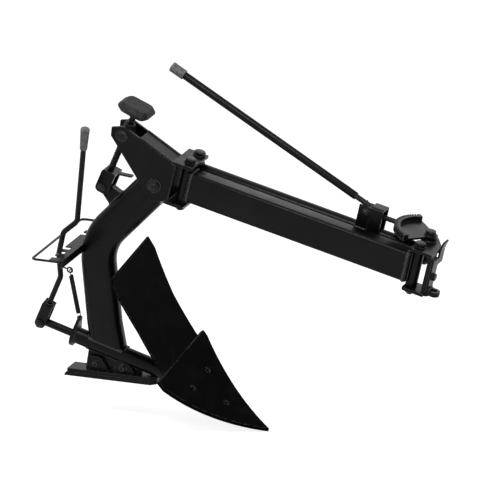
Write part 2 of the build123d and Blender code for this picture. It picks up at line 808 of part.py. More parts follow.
yoke_cross = Plane(origin=yoke_at, x_dir=screw_foot.x_dir, z_dir=screw_foot.y_dir)
yoke_tall = yoke_rise + yoke_drop
with BuildPart() as screw_yoke:
    with BuildSketch(side(screw_foot)):
        with Locations(((yoke_fore - yoke_aft) / 2, (yoke_rise - yoke_drop) / 2)):
            Rectangle(yoke_fore + yoke_aft, yoke_tall)
        fillet(vertices().group_by(Axis.Y)[0], yoke_drop - 1)
        fillet(vertices().group_by(Axis.Y)[-1].sort_by(Axis.X)[0], yoke_corner)
    extrude(amount=yoke_half, both=True)
    with BuildSketch(across(screw_foot, x=-yoke_aft)):
        with Locations((0, (yoke_rise - yoke_plate - yoke_drop) / 2)):
            Rectangle(2 * (yoke_half - yoke_plate), yoke_rise - yoke_plate + yoke_drop)
        fillet(vertices().group_by(Axis.Y)[-1], yoke_plate / 2)
    extrude(amount=yoke_fore + yoke_aft, mode=Mode.SUBTRACT)
    rod(yoke_cross, small_pin_r + pin_fit, -yoke_half, yoke_half, mode=Mode.SUBTRACT)
screw_yoke.part.label = "screw_yoke"
export_step(screw_yoke.part, "parts/screw_yoke.step")

# The tab leaves the yoke's front upper edge and runs nearly level between the side plates.
tab = tilted(moved(screw_foot, x=yoke_fore, z=yoke_rise).origin, tab_dip)
with BuildPart() as yoke_tab:
    with BuildSketch(tab.offset(-tab_thick)):
        with Locations((tab_long / 2, 0)):
            Rectangle(tab_long, tab_wide)
        fillet(vertices().group_by(Axis.X)[-1], tab_thick)
    extrude(amount=tab_thick)
    with BuildSketch(side(screw_foot)):
        with Locations(((yoke_fore - yoke_aft) / 2, yoke_rise - yoke_tall)):
            Rectangle(yoke_fore + yoke_aft, 2 * yoke_tall)
    extrude(amount=yoke_half, both=True, mode=Mode.SUBTRACT)
yoke_tab.part.label = "yoke_tab"
export_step(yoke_tab.part, "parts/yoke_tab.step")

with BuildPart() as screw_yoke_pin:
    bolt(yoke_cross, small_pin_r, -yoke_half, yoke_half, small_head_wide, small_head_tall)
screw_yoke_pin.part.label = "screw_yoke_pin"
export_step(screw_yoke_pin.part, "parts/screw_yoke_pin.step")


# ---------------------------------------------------------------- gooseneck leg
leg_top = leg_knee + direction(leg_slope) * (leg_upper + leg_top_over)
leg_foot = shaft_at
flare_top = shaft_at - leg_down * leg_flare_tall
below = bearing_r * 2


def leg_section(origin, way, inset, deep=leg_deep, back=leg_behind):
    """Rounded tube section square to the leg at a place, its sketch x to the left and y forwards."""
    with BuildSketch(Plane(origin=origin, x_dir=(0, 1, 0), z_dir=way)) as section:
        with Locations((0, -back)):
            RectangleRounded(leg_wide - 2 * inset, deep - 2 * inset, leg_corner - inset)
    return section.sketch


def leg_solid(inset, mode):
    """Leg with its flared foot, its surface inset by a wall."""
    with BuildLine() as bend:
        FilletPolyline(leg_top, leg_knee, flare_top, radius=leg_bend_r)
    sweep(leg_section(leg_top, direction(leg_slope) * -1, inset), path=bend.line, mode=mode)
    foot_section = leg_section(shaft_at, leg_down, inset, foot_deep, foot_behind)
    loft([leg_section(flare_top, leg_down, inset), foot_section], mode=mode)
    extrude(foot_section, amount=below, mode=mode)


with BuildPart() as leg_hollow:
    leg_solid(leg_wall, Mode.ADD)
    split(bisect_by=shaft.offset(foot_up + foot_floor), keep=Keep.TOP)

with BuildPart() as leg_tube:
    leg_solid(0, Mode.ADD)
    add(leg_hollow.part, mode=Mode.SUBTRACT)
    # The front of the upper end is cut off parallel to the head's web.
    with BuildSketch(side(Plane(origin=leg_pivot, x_dir=head.x_dir, z_dir=head.z_dir), x=leg_front_cut + leg_deep)):
        Rectangle(2 * leg_deep, 4 * leg_deep)
    extrude(amount=leg_wide, both=True, mode=Mode.SUBTRACT)
    split(bisect_by=shaft.offset(foot_up), keep=Keep.TOP)
    with BuildSketch(across(shaft, x=-bearing_front)):
        Circle(bearing_r)
    extrude(amount=2 * bearing_front, mode=Mode.SUBTRACT)
    rod(pivot_cross, pivot_bush_r, -leg_wide / 2, leg_wide / 2)
    rod(pivot_cross, pin_r + pin_fit, -leg_wide / 2, leg_wide / 2, mode=Mode.SUBTRACT)
leg_tube.part.label = "leg_tube"
export_step(leg_tube.part, "parts/leg_tube.step")

lug_along = (yoke_at - leg_knee).dot(direction(leg_slope))
leg_back = leg_deep / 2 + leg_behind
lug_up = (yoke_at - leg_knee).dot(leg_square) - leg_back
lug_foot = leg_knee + direction(leg_slope) * lug_along + leg_square * leg_back
lug_frame = Plane(origin=lug_foot, x_dir=direction(leg_slope), z_dir=leg_square)
with BuildPart() as yoke_lug:
    with BuildSketch(side(lug_frame)):
        with Locations((0, lug_up)):
            Circle(lug_boss_r)
        Polygon((-lug_base / 2, 0), (lug_base / 2, 0), (0, lug_up), align=None)
        make_hull()
    extrude(amount=lug_half, both=True)
    rod(yoke_cross, lug_boss_r, -lug_boss_half, lug_boss_half)
    rod(yoke_cross, small_pin_r + pin_fit, -lug_boss_half, lug_boss_half, mode=Mode.SUBTRACT)
yoke_lug.part.label = "yoke_lug"
export_step(yoke_lug.part, "parts/yoke_lug.step")


# ---------------------------------------------------------------- bearing tube, foot and sole
with BuildPart() as bearing_tube:
    with BuildSketch(across(shaft, x=-bearing_back)):
        Circle(bearing_r)
    extrude(amount=bearing_back + bearing_front)
    with BuildSketch(across(shaft, x=-bearing_back)):
        with Locations((0, flange_ear_up)):
            Circle(flange_ear_r)
        Circle(flange_r)
        make_hull()
        with Locations((0, flange_ear_up)):
            Circle(flange_ear_bore, mode=Mode.SUBTRACT)
    extrude(amount=flange_thick)
    with BuildSketch(across(shaft, x=-bearing_back)):
        Circle(bearing_bore_r)
    extrude(amount=bearing_back + bearing_front, mode=Mode.SUBTRACT)
bearing_tube.part.label = "bearing_tube"
export_step(bearing_tube.part, "parts/bearing_tube.step")

shaft_slope = tan(radians(shaft_pitch))
sole_low = in_frame(level, shaft_at)[1] - sole_under
heel_top = sole_low + 2 * sole_layer


def shaft_height(x):
    """Height of the shaft's axis, from the leg pivot, at a place along the level frame."""
    across_x, up_z = in_frame(level, shaft_at)
    return up_z - (x - across_x) * shaft_slope


# Axes of the heel bolts, with z to the right.
heel_crosses = [
    Plane(origin=moved(level, x=-bolt_back, z=heel_top + bolt_up).origin, x_dir=(1, 0, 0), z_dir=(0, -1, 0))
    for bolt_back, bolt_up in heel_bolts
]
with BuildPart() as foot_plate:
    with BuildSketch(side(level)):
        Polygon(
            (-foot_rear, heel_top),
            (-foot_front, heel_top),
            (-foot_front, shaft_height(-foot_front)),
            (-foot_rear_top, shaft_height(-foot_rear_top)),
            align=None,
        )
    extrude(amount=foot_thick / 2, both=True)
    with BuildSketch(across(shaft, x=-bearing_front)):
        Circle(bearing_r)
    extrude(amount=2 * bearing_front, mode=Mode.SUBTRACT)
    for heel_cross in heel_crosses:
        rod(heel_cross, small_pin_r + pin_fit, -foot_thick, foot_thick, mode=Mode.SUBTRACT)
foot_plate.part.label = "foot_plate"
export_step(foot_plate.part, "parts/foot_plate.step")


def sole_outline(rear):
    """Plan of the heel bar or the sole plate from its rear end, pointed in front."""
    with Locations((-(rear + sole_front) / 2, 0)):
        Rectangle(rear - sole_front, 2 * sole_half)
    chamfer(vertices().group_by(Axis.X)[-1], sole_nose)


with BuildPart() as heel_bar:
    with BuildSketch(level.offset(heel_top - sole_layer)):
        sole_outline(sole_rear - heel_short)
    extrude(amount=sole_layer)
    for bolt_back, bolt_up in heel_bolts:
        with BuildSketch(side(level, x=-bolt_back, y=-foot_thick / 2, z=heel_top)):
            with Locations((heel_ear_over, bolt_up)):
                Circle(heel_ear_r)
            with Locations((-heel_ear_back, bolt_up + heel_ear_up)):
                Circle(heel_ear_back_r)
            Polygon((-heel_ear_base[0], 0), (heel_ear_base[1], 0), (0, bolt_up), align=None)
            make_hull()
            Rectangle(4 * heel_ear_base[1], heel_ear_base[1], align=(Align.CENTER, Align.MAX), mode=Mode.SUBTRACT)
        extrude(amount=foot_thick)
    with BuildSketch(across(shaft, x=-bearing_front)):
        Circle(bearing_r)
    extrude(amount=2 * bearing_front, mode=Mode.SUBTRACT)
    for heel_cross in heel_crosses:
        rod(heel_cross, small_pin_r + pin_fit, 0, 2 * foot_thick, mode=Mode.SUBTRACT)
heel_bar.part.label = "heel_bar"
export_step(heel_bar.part, "parts/heel_bar.step")

with BuildPart() as heel_bolt_pair:
    for heel_cross in heel_crosses:
        rod(heel_cross, small_pin_r, -foot_thick / 2 - small_head_tall, 1.5 * foot_thick)
        rod(heel_cross, small_head_wide / 2, 1.5 * foot_thick, 1.5 * foot_thick + small_head_tall)
        hex_end(heel_cross, small_head_wide, -foot_thick / 2 - small_head_tall, small_head_tall)
heel_bolt_pair.part.label = "heel_bolts"
export_step(heel_bolt_pair.part, "parts/heel_bolts.step")

with BuildPart() as sole_plate:
    with BuildSketch(level.offset(sole_low)):
        sole_outline(sole_rear)
    extrude(amount=sole_layer)
    with BuildSketch(side(level)):
        Polygon(
            (-sole_rear, sole_low),
            (-sole_rear + sole_rear_bevel, sole_low + sole_layer),
            (-sole_rear, sole_low + sole_layer),
            align=None,
        )
    extrude(amount=sole_half, both=True, mode=Mode.SUBTRACT)
sole_plate.part.label = "sole_plate"
export_step(sole_plate.part, "parts/sole_plate.step")


# ---------------------------------------------------------------- turning comb, guard and spring
with BuildPart() as comb:
    with BuildSketch(level.offset(-comb_top - comb_thick)):
        with Locations((-(comb_front + comb_rear) / 2, 0)):
            Rectangle(comb_rear - comb_front, 2 * comb_half)
        for slot_y in slots_at:
            for mirror_y in (slot_y, -slot_y):
                with Locations((-comb_rear, mirror_y)):
                    Rectangle(2 * slot_deep, slot_wide, mode=Mode.SUBTRACT)
    extrude(amount=comb_thick)
    bar(
        across(level, x=-comb_front - comb_thick, z=-comb_top - comb_flange / 2),
        2 * comb_half,
        comb_flange,
        comb_thick,
    )
    leg_solid(0, Mode.SUBTRACT)
comb.part.label = "comb"
export_step(comb.part, "parts/comb.step")

guard_half = comb_half + guard_r
with BuildPart() as guard_wire:
    with BuildLine(level.offset(-comb_top - comb_thick / 2)) as guard_line:
        FilletPolyline(
            (-comb_front - comb_thick, guard_half),
            (-guard_back, guard_half),
            (-guard_back, -guard_half),
            (-comb_front - comb_thick, -guard_half),
            radius=guard_bend_r,
        )
    with BuildSketch(Plane(origin=guard_line.line @ 0, z_dir=guard_line.line % 0)):
        Circle(guard_r)
    sweep()
guard_wire.part.label = "guard_wire"
export_step(guard_wire.part, "parts/guard_wire.step")

eye_frame = moved(cross_pin, x=eye_ahead, z=eye_up)
ear_frame = moved(shaft, x=-bearing_back + flange_thick / 2, z=flange_ear_up)
spring_way = (eye_frame.origin - ear_frame.origin).normalized()
spring_frame = Plane(origin=ear_frame.origin, z_dir=spring_way)
spring_span = (eye_frame.origin - ear_frame.origin).length
with BuildPart() as turn_spring:
    rod(spring_frame, spring_r, spring_hook, spring_span - spring_hook)
    rod(spring_frame, spring_hook_r, flange_ear_r + spring_play, spring_span - eye_r - spring_play)
turn_spring.part.label = "turn_spring"
export_step(turn_spring.part, "parts/turn_spring.step")


# ---------------------------------------------------------------- rolling plough body
cross_pin_cross = Plane(origin=cross_pin.origin, x_dir=body.x_dir, z_dir=body.y_dir)
with BuildPart() as body_shaft:
    with BuildSketch(across(body, x=-bearing_back)):
        Circle(bearing_bore_r - pin_fit)
    extrude(amount=bearing_back + shaft_front)
    with BuildSketch(across(body, x=-cross_pin_back - stub_over)):
        Circle(stub_r)
    extrude(amount=cross_pin_back + stub_over - bearing_back)
    rod(cross_pin_cross, small_pin_r + pin_fit, -stub_r, stub_r, mode=Mode.SUBTRACT)
body_shaft.part.label = "body_shaft"
export_step(body_shaft.part, "parts/body_shaft.step")

mould_points = (mould_top, mould_mid, mould_low)
share_start = (mould_low[0] + share_joint, mould_low[1] - share_joint)
share_points = (share_start, share_mid, share_tip)
with BuildPart() as mouldboard:
    curved_sheet(mould_points, 0, mould_thick, 2 * mould_half_wing)
    with BuildSketch(across(body)):
        low = mould_low[1] - 2 * mould_thick
        wing_up = mould_top[1] - wing_drop
        Polygon(
            (-mould_half_low, low),
            (-mould_half_low, (low + wing_up) / 2),
            (-mould_half_wing, wing_up),
            (-mould_half_top, mould_top[1] + mould_thick),
            (mould_half_top, mould_top[1] + mould_thick),
            (mould_half_wing, wing_up),
            (mould_half_low, (low + wing_up) / 2),
            (mould_half_low, low),
            align=None,
        )
    extrude(amount=share_tip[0], both=True, mode=Mode.INTERSECT)
mouldboard.part.label = "mouldboard"
export_step(mouldboard.part, "parts/mouldboard.step")

with BuildPart() as share:
    curved_sheet(share_points, 0, share_thick, 2 * share_half)
    with BuildSketch(body):
        Polygon(
            (0, -share_half),
            (share_shoulder, -share_half),
            (share_tip[0], 0),
            (share_shoulder, share_half),
            (0, share_half),
            align=None,
        )
    extrude(amount=share_tip[0], both=True, mode=Mode.INTERSECT)
share.part.label = "share"
export_step(share.part, "parts/share.step")

mould_curve = sheet_centre(*mould_points)
share_curve = sheet_centre(*share_points)
seat_half = seat_taper[0][1]
with BuildPart() as frog:
    # Curved seats behind the mouldboard and the share, narrowing towards the point.
    curved_sheet(stretch(mould_points, *mould_seat), mould_thick, mould_thick + seat_thick, seat_half)
    curved_sheet(stretch(share_points, *share_seat), share_thick, share_thick + seat_thick, seat_half)
    with BuildSketch(body):
        Polygon(*seat_taper, *[(x, -half) for x, half in seat_taper[::-1]], align=None)
    extrude(amount=share_tip[0], both=True, mode=Mode.INTERSECT)
    # Middle gusset between the seats and the shaft.
    with BuildSketch(side(body)):
        Polygon(
            behind(mould_mid, mould_curve, mould_thick + seat_thick / 2),
            behind(mould_low, mould_curve, share_thick + seat_thick / 2),
            behind(share_mid, share_curve, share_thick + seat_thick / 2),
            (shaft_front, -bearing_bore_r),
            (bearing_front + seat_thick, -frog_collar_r),
            (bearing_front + seat_thick, frog_collar_r + seat_thick),
            align=None,
        )
    extrude(amount=frog_thick / 2, both=True)
    with BuildSketch(across(body, x=bearing_front + side_play)):
        Circle(frog_collar_r)
    extrude(amount=frog_collar_long)
    with BuildSketch(across(body, x=bearing_front - frog_collar_long)):
        Circle(bearing_bore_r)
    extrude(amount=shaft_front - bearing_front + frog_collar_long, mode=Mode.SUBTRACT)
    add(mouldboard.part, mode=Mode.SUBTRACT)
    add(share.part, mode=Mode.SUBTRACT)
frog.part.label = "frog"
export_step(frog.part, "parts/frog.step")


# ---------------------------------------------------------------- turning lever
yoke_in = turn_yoke_half - turn_yoke_plate
with BuildPart() as turn_yoke:
    with BuildSketch(side(lever_root)):
        with Locations((0, (turn_yoke_rise - turn_yoke_nose) / 2)):
            Rectangle(turn_yoke_long, turn_yoke_rise + turn_yoke_nose)
        fillet(vertices().group_by(Axis.Y)[0], turn_yoke_nose - 1)
    extrude(amount=turn_yoke_half, both=True)
    with BuildSketch(across(lever_root, x=-turn_yoke_long)):
        with Locations((0, (turn_yoke_rise - turn_yoke_plate) / 2 - turn_yoke_nose)):
            Rectangle(2 * yoke_in, turn_yoke_rise - turn_yoke_plate + 2 * turn_yoke_nose)
    extrude(amount=2 * turn_yoke_long, mode=Mode.SUBTRACT)
    rod(cross_pin_cross, small_pin_r + pin_fit, -turn_yoke_half, turn_yoke_half, mode=Mode.SUBTRACT)
turn_yoke.part.label = "turn_yoke"
export_step(turn_yoke.part, "parts/turn_yoke.step")

with BuildPart() as turn_pin:
    bolt(cross_pin_cross, small_pin_r, -turn_yoke_half, turn_yoke_half, small_head_wide, small_head_tall)
turn_pin.part.label = "turn_pin"
export_step(turn_pin.part, "parts/turn_pin.step")

lever_foot = polar(turn_yoke_rise, 90 - turn_lean)
turn_points = [lever_foot] + [(ahead, up) for up, ahead in turn_bends] + [(turn_top[1], turn_top[0])]
turn_places = [moved(cross_pin, x=ahead, z=up).origin for ahead, up in turn_points]
with BuildPart() as turning_lever:
    with BuildLine() as turn_line:
        FilletPolyline(*turn_places, radius=turn_bend_r)
    with BuildSketch(Plane(origin=turn_places[0], z_dir=turn_places[1] - turn_places[0])):
        Circle(turn_lever_r)
    sweep()
turning_lever.part.label = "turning_lever"
export_step(turning_lever.part, "parts/turning_lever.step")

grip_way = (turn_places[-1] - turn_places[-2]).normalized()
grip_frame = Plane(origin=turn_places[-1] - grip_way * (turn_grip_long - turn_grip_cap), z_dir=grip_way)
with BuildPart() as turning_grip:
    with BuildSketch(grip_frame):
        Circle(turn_grip_r)
    with BuildSketch(grip_frame.offset(turn_grip_long)):
        Circle(turn_grip_top_r)
    loft()
    rod(grip_frame, turn_lever_r, 0, turn_grip_long - turn_grip_cap, mode=Mode.SUBTRACT)
turning_grip.part.label = "turning_grip"
export_step(turning_grip.part, "parts/turning_grip.step")

with BuildPart() as spring_eye:
    with BuildSketch(side(eye_frame)):
        Circle(eye_r)
        Circle(eye_r - 2 * eye_wire_r, mode=Mode.SUBTRACT)
    extrude(amount=eye_wire_r, both=True)
    with BuildSketch(side(cross_pin, z=eye_up)):
        with Locations(((eye_ahead + eye_lever_ahead) / 2 - eye_wire_r, 0)):
            Rectangle(eye_ahead - eye_lever_ahead - eye_r, 2 * eye_wire_r)
    extrude(amount=eye_wire_r, both=True)
    add(turning_lever.part, mode=Mode.SUBTRACT)
spring_eye.part.label = "spring_eye"
export_step(spring_eye.part, "parts/spring_eye.step")
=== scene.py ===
"""Dresses the reversible mouldboard plough: paint, eased edges, welds, bolts, threads and grips."""

import json
from math import asin, atan2, cos, degrees, hypot, pi, radians, sin, tan
import bpy
from bpy.props import FloatProperty, FloatVectorProperty, PointerProperty
from bpy.types import Operator, Panel, PropertyGroup
from mathutils import Matrix, Vector
from mathutils.bvhtree import BVHTree

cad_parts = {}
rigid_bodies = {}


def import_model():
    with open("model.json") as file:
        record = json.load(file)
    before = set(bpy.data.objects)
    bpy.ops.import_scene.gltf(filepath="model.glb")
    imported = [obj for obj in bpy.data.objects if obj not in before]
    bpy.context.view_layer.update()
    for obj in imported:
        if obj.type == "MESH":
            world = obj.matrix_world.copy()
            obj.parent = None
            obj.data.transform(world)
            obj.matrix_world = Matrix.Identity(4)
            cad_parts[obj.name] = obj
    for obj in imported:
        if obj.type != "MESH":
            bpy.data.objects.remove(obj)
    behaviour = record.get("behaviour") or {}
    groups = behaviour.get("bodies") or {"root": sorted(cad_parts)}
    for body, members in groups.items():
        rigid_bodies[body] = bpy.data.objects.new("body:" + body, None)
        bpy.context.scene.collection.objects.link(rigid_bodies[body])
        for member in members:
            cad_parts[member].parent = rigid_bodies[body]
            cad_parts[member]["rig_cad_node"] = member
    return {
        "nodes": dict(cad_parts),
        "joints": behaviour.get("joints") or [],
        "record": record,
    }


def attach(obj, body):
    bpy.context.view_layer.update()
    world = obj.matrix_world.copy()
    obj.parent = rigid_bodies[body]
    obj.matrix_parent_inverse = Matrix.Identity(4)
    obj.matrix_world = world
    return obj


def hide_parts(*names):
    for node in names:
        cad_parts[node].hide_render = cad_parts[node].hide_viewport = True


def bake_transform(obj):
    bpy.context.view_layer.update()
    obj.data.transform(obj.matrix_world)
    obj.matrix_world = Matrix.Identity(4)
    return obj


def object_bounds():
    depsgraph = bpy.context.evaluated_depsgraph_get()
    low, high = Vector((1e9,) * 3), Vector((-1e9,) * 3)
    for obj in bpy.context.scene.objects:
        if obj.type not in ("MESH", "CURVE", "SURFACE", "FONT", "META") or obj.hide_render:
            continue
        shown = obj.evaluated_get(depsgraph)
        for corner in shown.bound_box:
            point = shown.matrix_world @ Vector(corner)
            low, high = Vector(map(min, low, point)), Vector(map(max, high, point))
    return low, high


bl_info = {
    "name": "Reversible mouldboard plough",
    "version": (1, 0, 0),
    "blender": (4, 5, 0),
    "location": "View3D > Sidebar > Plough",
    "description": "Dresses a walking tractor plough with its finishes, welds, fasteners and small parts",
    "category": "Object",
}

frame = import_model()
cad_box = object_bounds()
joints = {joint["name"]: joint for joint in frame["joints"]}
node_body = {node: body for body, nodes in frame["record"]["behaviour"]["bodies"].items() for node in nodes}


# ---------------------------------------------------------------- sizes and places
def mm(value):
    """Millimetres as metres."""
    return value / 1000


def mm_of(length):
    """Metres as millimetres."""
    return length * 1000


def place_of(name):
    """A joint's place, from the frame."""
    return Vector(joints[name]["pos_m"])


def axes(origin, ahead, up):
    """Matrix whose x runs ahead, y to the left and z up, with its origin at a point."""
    ahead, up = Vector(ahead).normalized(), Vector(up).normalized()
    left = up.cross(ahead)
    turn = Matrix((ahead, left, up)).transposed().to_4x4()
    return Matrix.Translation(origin) @ turn


def moved(base, x=0.0, y=0.0, z=0.0):
    """The same axes, their origin moved along them by millimetres."""
    return base @ Matrix.Translation((mm(x), mm(y), mm(z)))


def turned(base, angle, axis):
    """The same axes, turned about one of them by degrees."""
    return base @ Matrix.Rotation(radians(angle), 4, axis)


LEFT = Vector((0, 1, 0))
beam_up = Vector(joints["beam_swing"]["axis"]).normalized()
beam_ahead = LEFT.cross(beam_up)
HITCH = axes(place_of("beam_swing"), beam_ahead, beam_up)         # front beam pin
HITCH_LINK = axes(place_of("link_swing"), beam_ahead, beam_up)    # front link pin
HEAD = axes(place_of("head_swing"), beam_ahead, beam_up)          # rear beam pin
LEG = axes(place_of("leg_pitch"), (1, 0, 0), (0, 0, 1))           # leg pivot, level
TRUNNION = place_of("trunnion_turn")
YOKE = place_of("screw_tilt")
SCREW = axes(YOKE, (TRUNNION - YOKE).cross(LEFT) * -1, TRUNNION - YOKE)  # z up the screw
LEVER = axes(place_of("width_lever_lift"), beam_ahead, beam_up)   # width lever's pivot
shaft_ahead = Vector(joints["body_roll"]["axis"]).normalized()
SHAFT = axes(place_of("body_roll"), shaft_ahead, LEFT.cross(shaft_ahead) * -1)

# Sizes shared by several pieces, in millimetres.
PLATES_IN = 50.0         # inner and outer faces of the bracket's and head's plates from the beam's axis
PLATES_OUT = 58.0
LINK_LEFT = 62.0         # link's pins to the left of the beam's
LINK_UP = 22.0           # link's tube above the beam's axis
LINK_R = 17.0
LINK_PIN_LOW = 4.5
SECTOR_TOP = 71.0        # sector's boss above the beam's axis
SIDE_IN = 26.0           # head's side plates from the middle
SIDE_OUT = 34.0
HEAD_WEB = 27.0          # front face of the head's web behind the rear pins
CORNER_UP = 50.5         # side plates' front upper corner above the beam's axis
NOSE_R = 24.0            # side plates' round nose about the trunnion
BRIDGE_LONG = 104.0
NECK_BACK = 212.0        # lower end of the width lever's tube behind and above the front link pin
NECK_UP = 99.5
LEVER_SLOPE = 16.3
LEVER_TUBE_LONG = 560.0
YOKE_RISE = 48.0         # depth screw's yoke above its pin
SCREW_OVER = 58.0        # trunnion's axis to the knob's underside
LEG_SLOPE = 46.5         # upper part of the leg: slope, length and its line below the pivot
LEG_UPPER = 238.4
LEG_UNDER = 7.4
LEG_CORNER = 22.0
BEARING_R = 21.0
BEARING_BACK = 101.7
FLANGE_THICK = 8.0
FLANGE_EAR_UP = 43.0
FOOT_UP = 16.0           # leg's underside above the shaft's axis
HEEL_TOP = 510.0         # below the leg pivot
COMB_TOP = 182.0
COMB_THICK = 3.5
COMB_FRONT = 196.0       # behind the leg pivot
COMB_REAR = 231.0
COMB_HALF = 168.0
CROSS_PIN_BACK = 190.0
ROLL = 13.3              # the rolling body leans to the right by this angle at rest
TURN_LEAN = 9.0
YOKE_HALF = 16.0         # half width and height of the turning lever's yoke
TURN_YOKE_RISE = 60.0
EYE_UP = 180.0           # spring's eye above and ahead of the cross pin
EYE_AHEAD = 44.0
TURN_BEND = (330.0, 36.0)  # turning lever's last bend and its top, above and ahead of the cross pin
TURN_TOP = (602.0, 7.0)

BODY = turned(SHAFT, ROLL, "X")
CROSS_PIN = moved(BODY, x=-CROSS_PIN_BACK)
SCREW_SPAN = mm_of((TRUNNION - YOKE).length)
LEVER_TUBE = turned(moved(HITCH_LINK, x=-NECK_BACK, z=NECK_UP), LEVER_SLOPE - 90, "Y")    # z up the tube


# ---------------------------------------------------------------- modelling by hand
def alone(piece):
    """Leaves one piece selected and active."""
    bpy.ops.object.select_all(action="DESELECT")
    piece.select_set(True)
    bpy.context.view_layer.objects.active = piece
    return piece


def started(primitive, **settings):
    """Adds a primitive, alone in the selection."""
    bpy.ops.object.select_all(action="DESELECT")
    primitive(**settings)
    return bpy.context.object


def reshape(piece, wanted, *steps):
    """Runs edit-mode steps on the faces whose centre and normal pass a test."""
    alone(piece)
    bpy.ops.object.mode_set(mode="EDIT")
    bpy.ops.mesh.select_mode(type="FACE")
    bpy.ops.mesh.select_all(action="DESELECT")
    bpy.ops.object.mode_set(mode="OBJECT")
    for face in piece.data.polygons:
        face.select = wanted(face.center, face.normal)
    bpy.ops.object.mode_set(mode="EDIT")
    for step in steps:
        step()
    bpy.ops.object.mode_set(mode="OBJECT")
    return piece


def modified(piece, kind, **settings):
    """Adds a modifier with its settings and applies it."""
    alone(piece)
    bpy.ops.object.modifier_add(type=kind)
    modifier = piece.modifiers[-1]
    for name, value in settings.items():
        setattr(modifier, name, value)
    bpy.ops.object.modifier_apply(modifier=modifier.name)
    return piece


def rounded(piece, width, segments=2, angle=30):
    """Rounds the edges that are sharper than an angle."""
    return modified(
        piece, "BEVEL", width=mm(width), segments=segments, limit_method="ANGLE", angle_limit=radians(angle)
    )


def joined(pieces):
    """Joins pieces into the first one."""
    bpy.ops.object.select_all(action="DESELECT")
    for piece in pieces:
        piece.select_set(True)
    bpy.context.view_layer.objects.active = pieces[0]
    bpy.ops.object.join()
    return bpy.context.object


def placed(piece):
    """Writes a piece's place into its mesh."""
    alone(piece)
    bpy.ops.object.transform_apply(location=True, rotation=True, scale=True)
    return piece


def settled(piece, base):
    """Moves a piece from the middle to its place, in its mesh."""
    piece.matrix_world = base @ piece.matrix_world
    return placed(piece)


def round_bar(radius, low, high, sides=48):
    """Closed round bar along z, in millimetres."""
    return placed(started(
        bpy.ops.mesh.primitive_cylinder_add,
        vertices=sides, radius=mm(radius), depth=mm(high - low), location=(0, 0, mm(high + low) / 2),
    ))


def painted(piece, finish):
    """Gives a piece one finish."""
    piece.data.materials.clear()
    piece.data.materials.append(bpy.data.materials[finish])


def named(piece, name, finish, smooth=35):
    """Names, smooths and paints a piece that is in its place."""
    alone(piece)
    bpy.ops.object.shade_smooth_by_angle(angle=radians(smooth))
    piece.name = piece.data.name = name
    painted(piece, finish)
    return piece


def finished(piece, name, body, finish, smooth=35, replaces=()):
    """Names, smooths and paints a piece, and rides it on its body."""
    named(piece, name, finish, smooth)
    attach(piece, body)
    if replaces:
        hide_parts(*replaces)
    return piece


def guide_line(points, closed=False):
    """Curve through points in millimetres, for a modifier to follow."""
    curve = bpy.data.curves.new("guide line", "CURVE")
    curve.dimensions = "3D"
    spline = curve.splines.new("POLY")
    spline.points.add(len(points) - 1)
    for point, place in zip(spline.points, points):
        point.co = (*[mm(value) for value in place], 1)
    spline.use_cyclic_u = closed
    line = bpy.data.objects.new("guide line", curve)
    bpy.context.scene.collection.objects.link(line)
    return line


def wire(points, radius, sides=3, closed=False, ripple=0.0):
    """Round wire through points in millimetres, as a mesh with closed ends. A ripple makes every other
    point thinner by a share of the radius."""
    line = alone(guide_line(points, closed))
    for point in list(line.data.splines[0].points)[::2]:
        point.radius = 1 - ripple
    line.data.bevel_depth = mm(radius)
    line.data.bevel_resolution = sides
    line.data.use_fill_caps = True
    bpy.ops.object.convert(target="MESH")
    return bpy.context.object


def helix(radius, pitch, turns, low):
    """Points on a helix round z, in millimetres."""
    per_turn = 16
    parts = [step / per_turn for step in range(round(turns * per_turn) + 1)]
    return [(radius * cos(2 * pi * part), radius * sin(2 * pi * part), low + pitch * part) for part in parts]


def lathed(profile, sides=48):
    """Closed turned piece along z through pairs of radius and height, each step extruded from the last."""
    radius, low = profile[0]
    piece = placed(started(
        bpy.ops.mesh.primitive_circle_add,
        vertices=sides, radius=mm(radius), fill_type="NGON", location=(0, 0, mm(low)),
    ))
    alone(piece)
    bpy.ops.object.mode_set(mode="EDIT")
    bpy.ops.mesh.select_mode(type="FACE")
    bpy.ops.mesh.select_all(action="SELECT")
    for (radius, height), (next_radius, next_height) in zip(profile, profile[1:]):
        rise = (0, 0, mm(next_height - height))
        grown = next_radius / radius
        bpy.ops.mesh.extrude_region_move(TRANSFORM_OT_translate={"value": rise})
        bpy.ops.transform.resize(value=(grown, grown, 1))
    bpy.ops.mesh.select_all(action="SELECT")
    bpy.ops.mesh.normals_make_consistent(inside=False)
    bpy.ops.object.mode_set(mode="OBJECT")
    return piece


# ---------------------------------------------------------------- finishes
def linear(code):
    """sRGB hex colour as linear values."""
    channels = [int(code[start:start + 2], 16) / 255 for start in (1, 3, 5)]
    return tuple(c / 12.92 if c <= 0.04045 else ((c + 0.055) / 1.055) ** 2.4 for c in channels)


def rgba(colour):
    """Colour with full alpha."""
    return (*colour[:3], 1)


def plug(tree, node, sockets):
    """Sets a node's sockets to values, or links them from another node's result."""
    for name, value in sockets.items():
        if isinstance(value, bpy.types.Node):
            value = value.outputs[2] if value.type == "MIX" else value.outputs[0]
        if isinstance(value, bpy.types.NodeSocket):
            tree.links.new(value, node.inputs[name])
        else:
            node.inputs[name].default_value = value
    return node


def add_node(tree, kind, sockets=None, **settings):
    """Adds a node with its settings, its sockets set or linked."""
    node = tree.nodes.new("ShaderNode" + kind)
    for name, value in settings.items():
        setattr(node, name, value)
    return plug(tree, node, sockets or {})


def start_finish(name):
    """New material: its tree, its shader and its Object coordinates."""
    material = bpy.data.materials.new(name)
    material.use_nodes = True
    tree = material.node_tree
    return tree, tree.nodes["Principled BSDF"], add_node(tree, "TexCoord").outputs["Object"]


def per_mm(size):
    """Pattern scale that makes its features about this many millimetres."""
    return 1 / mm(size)


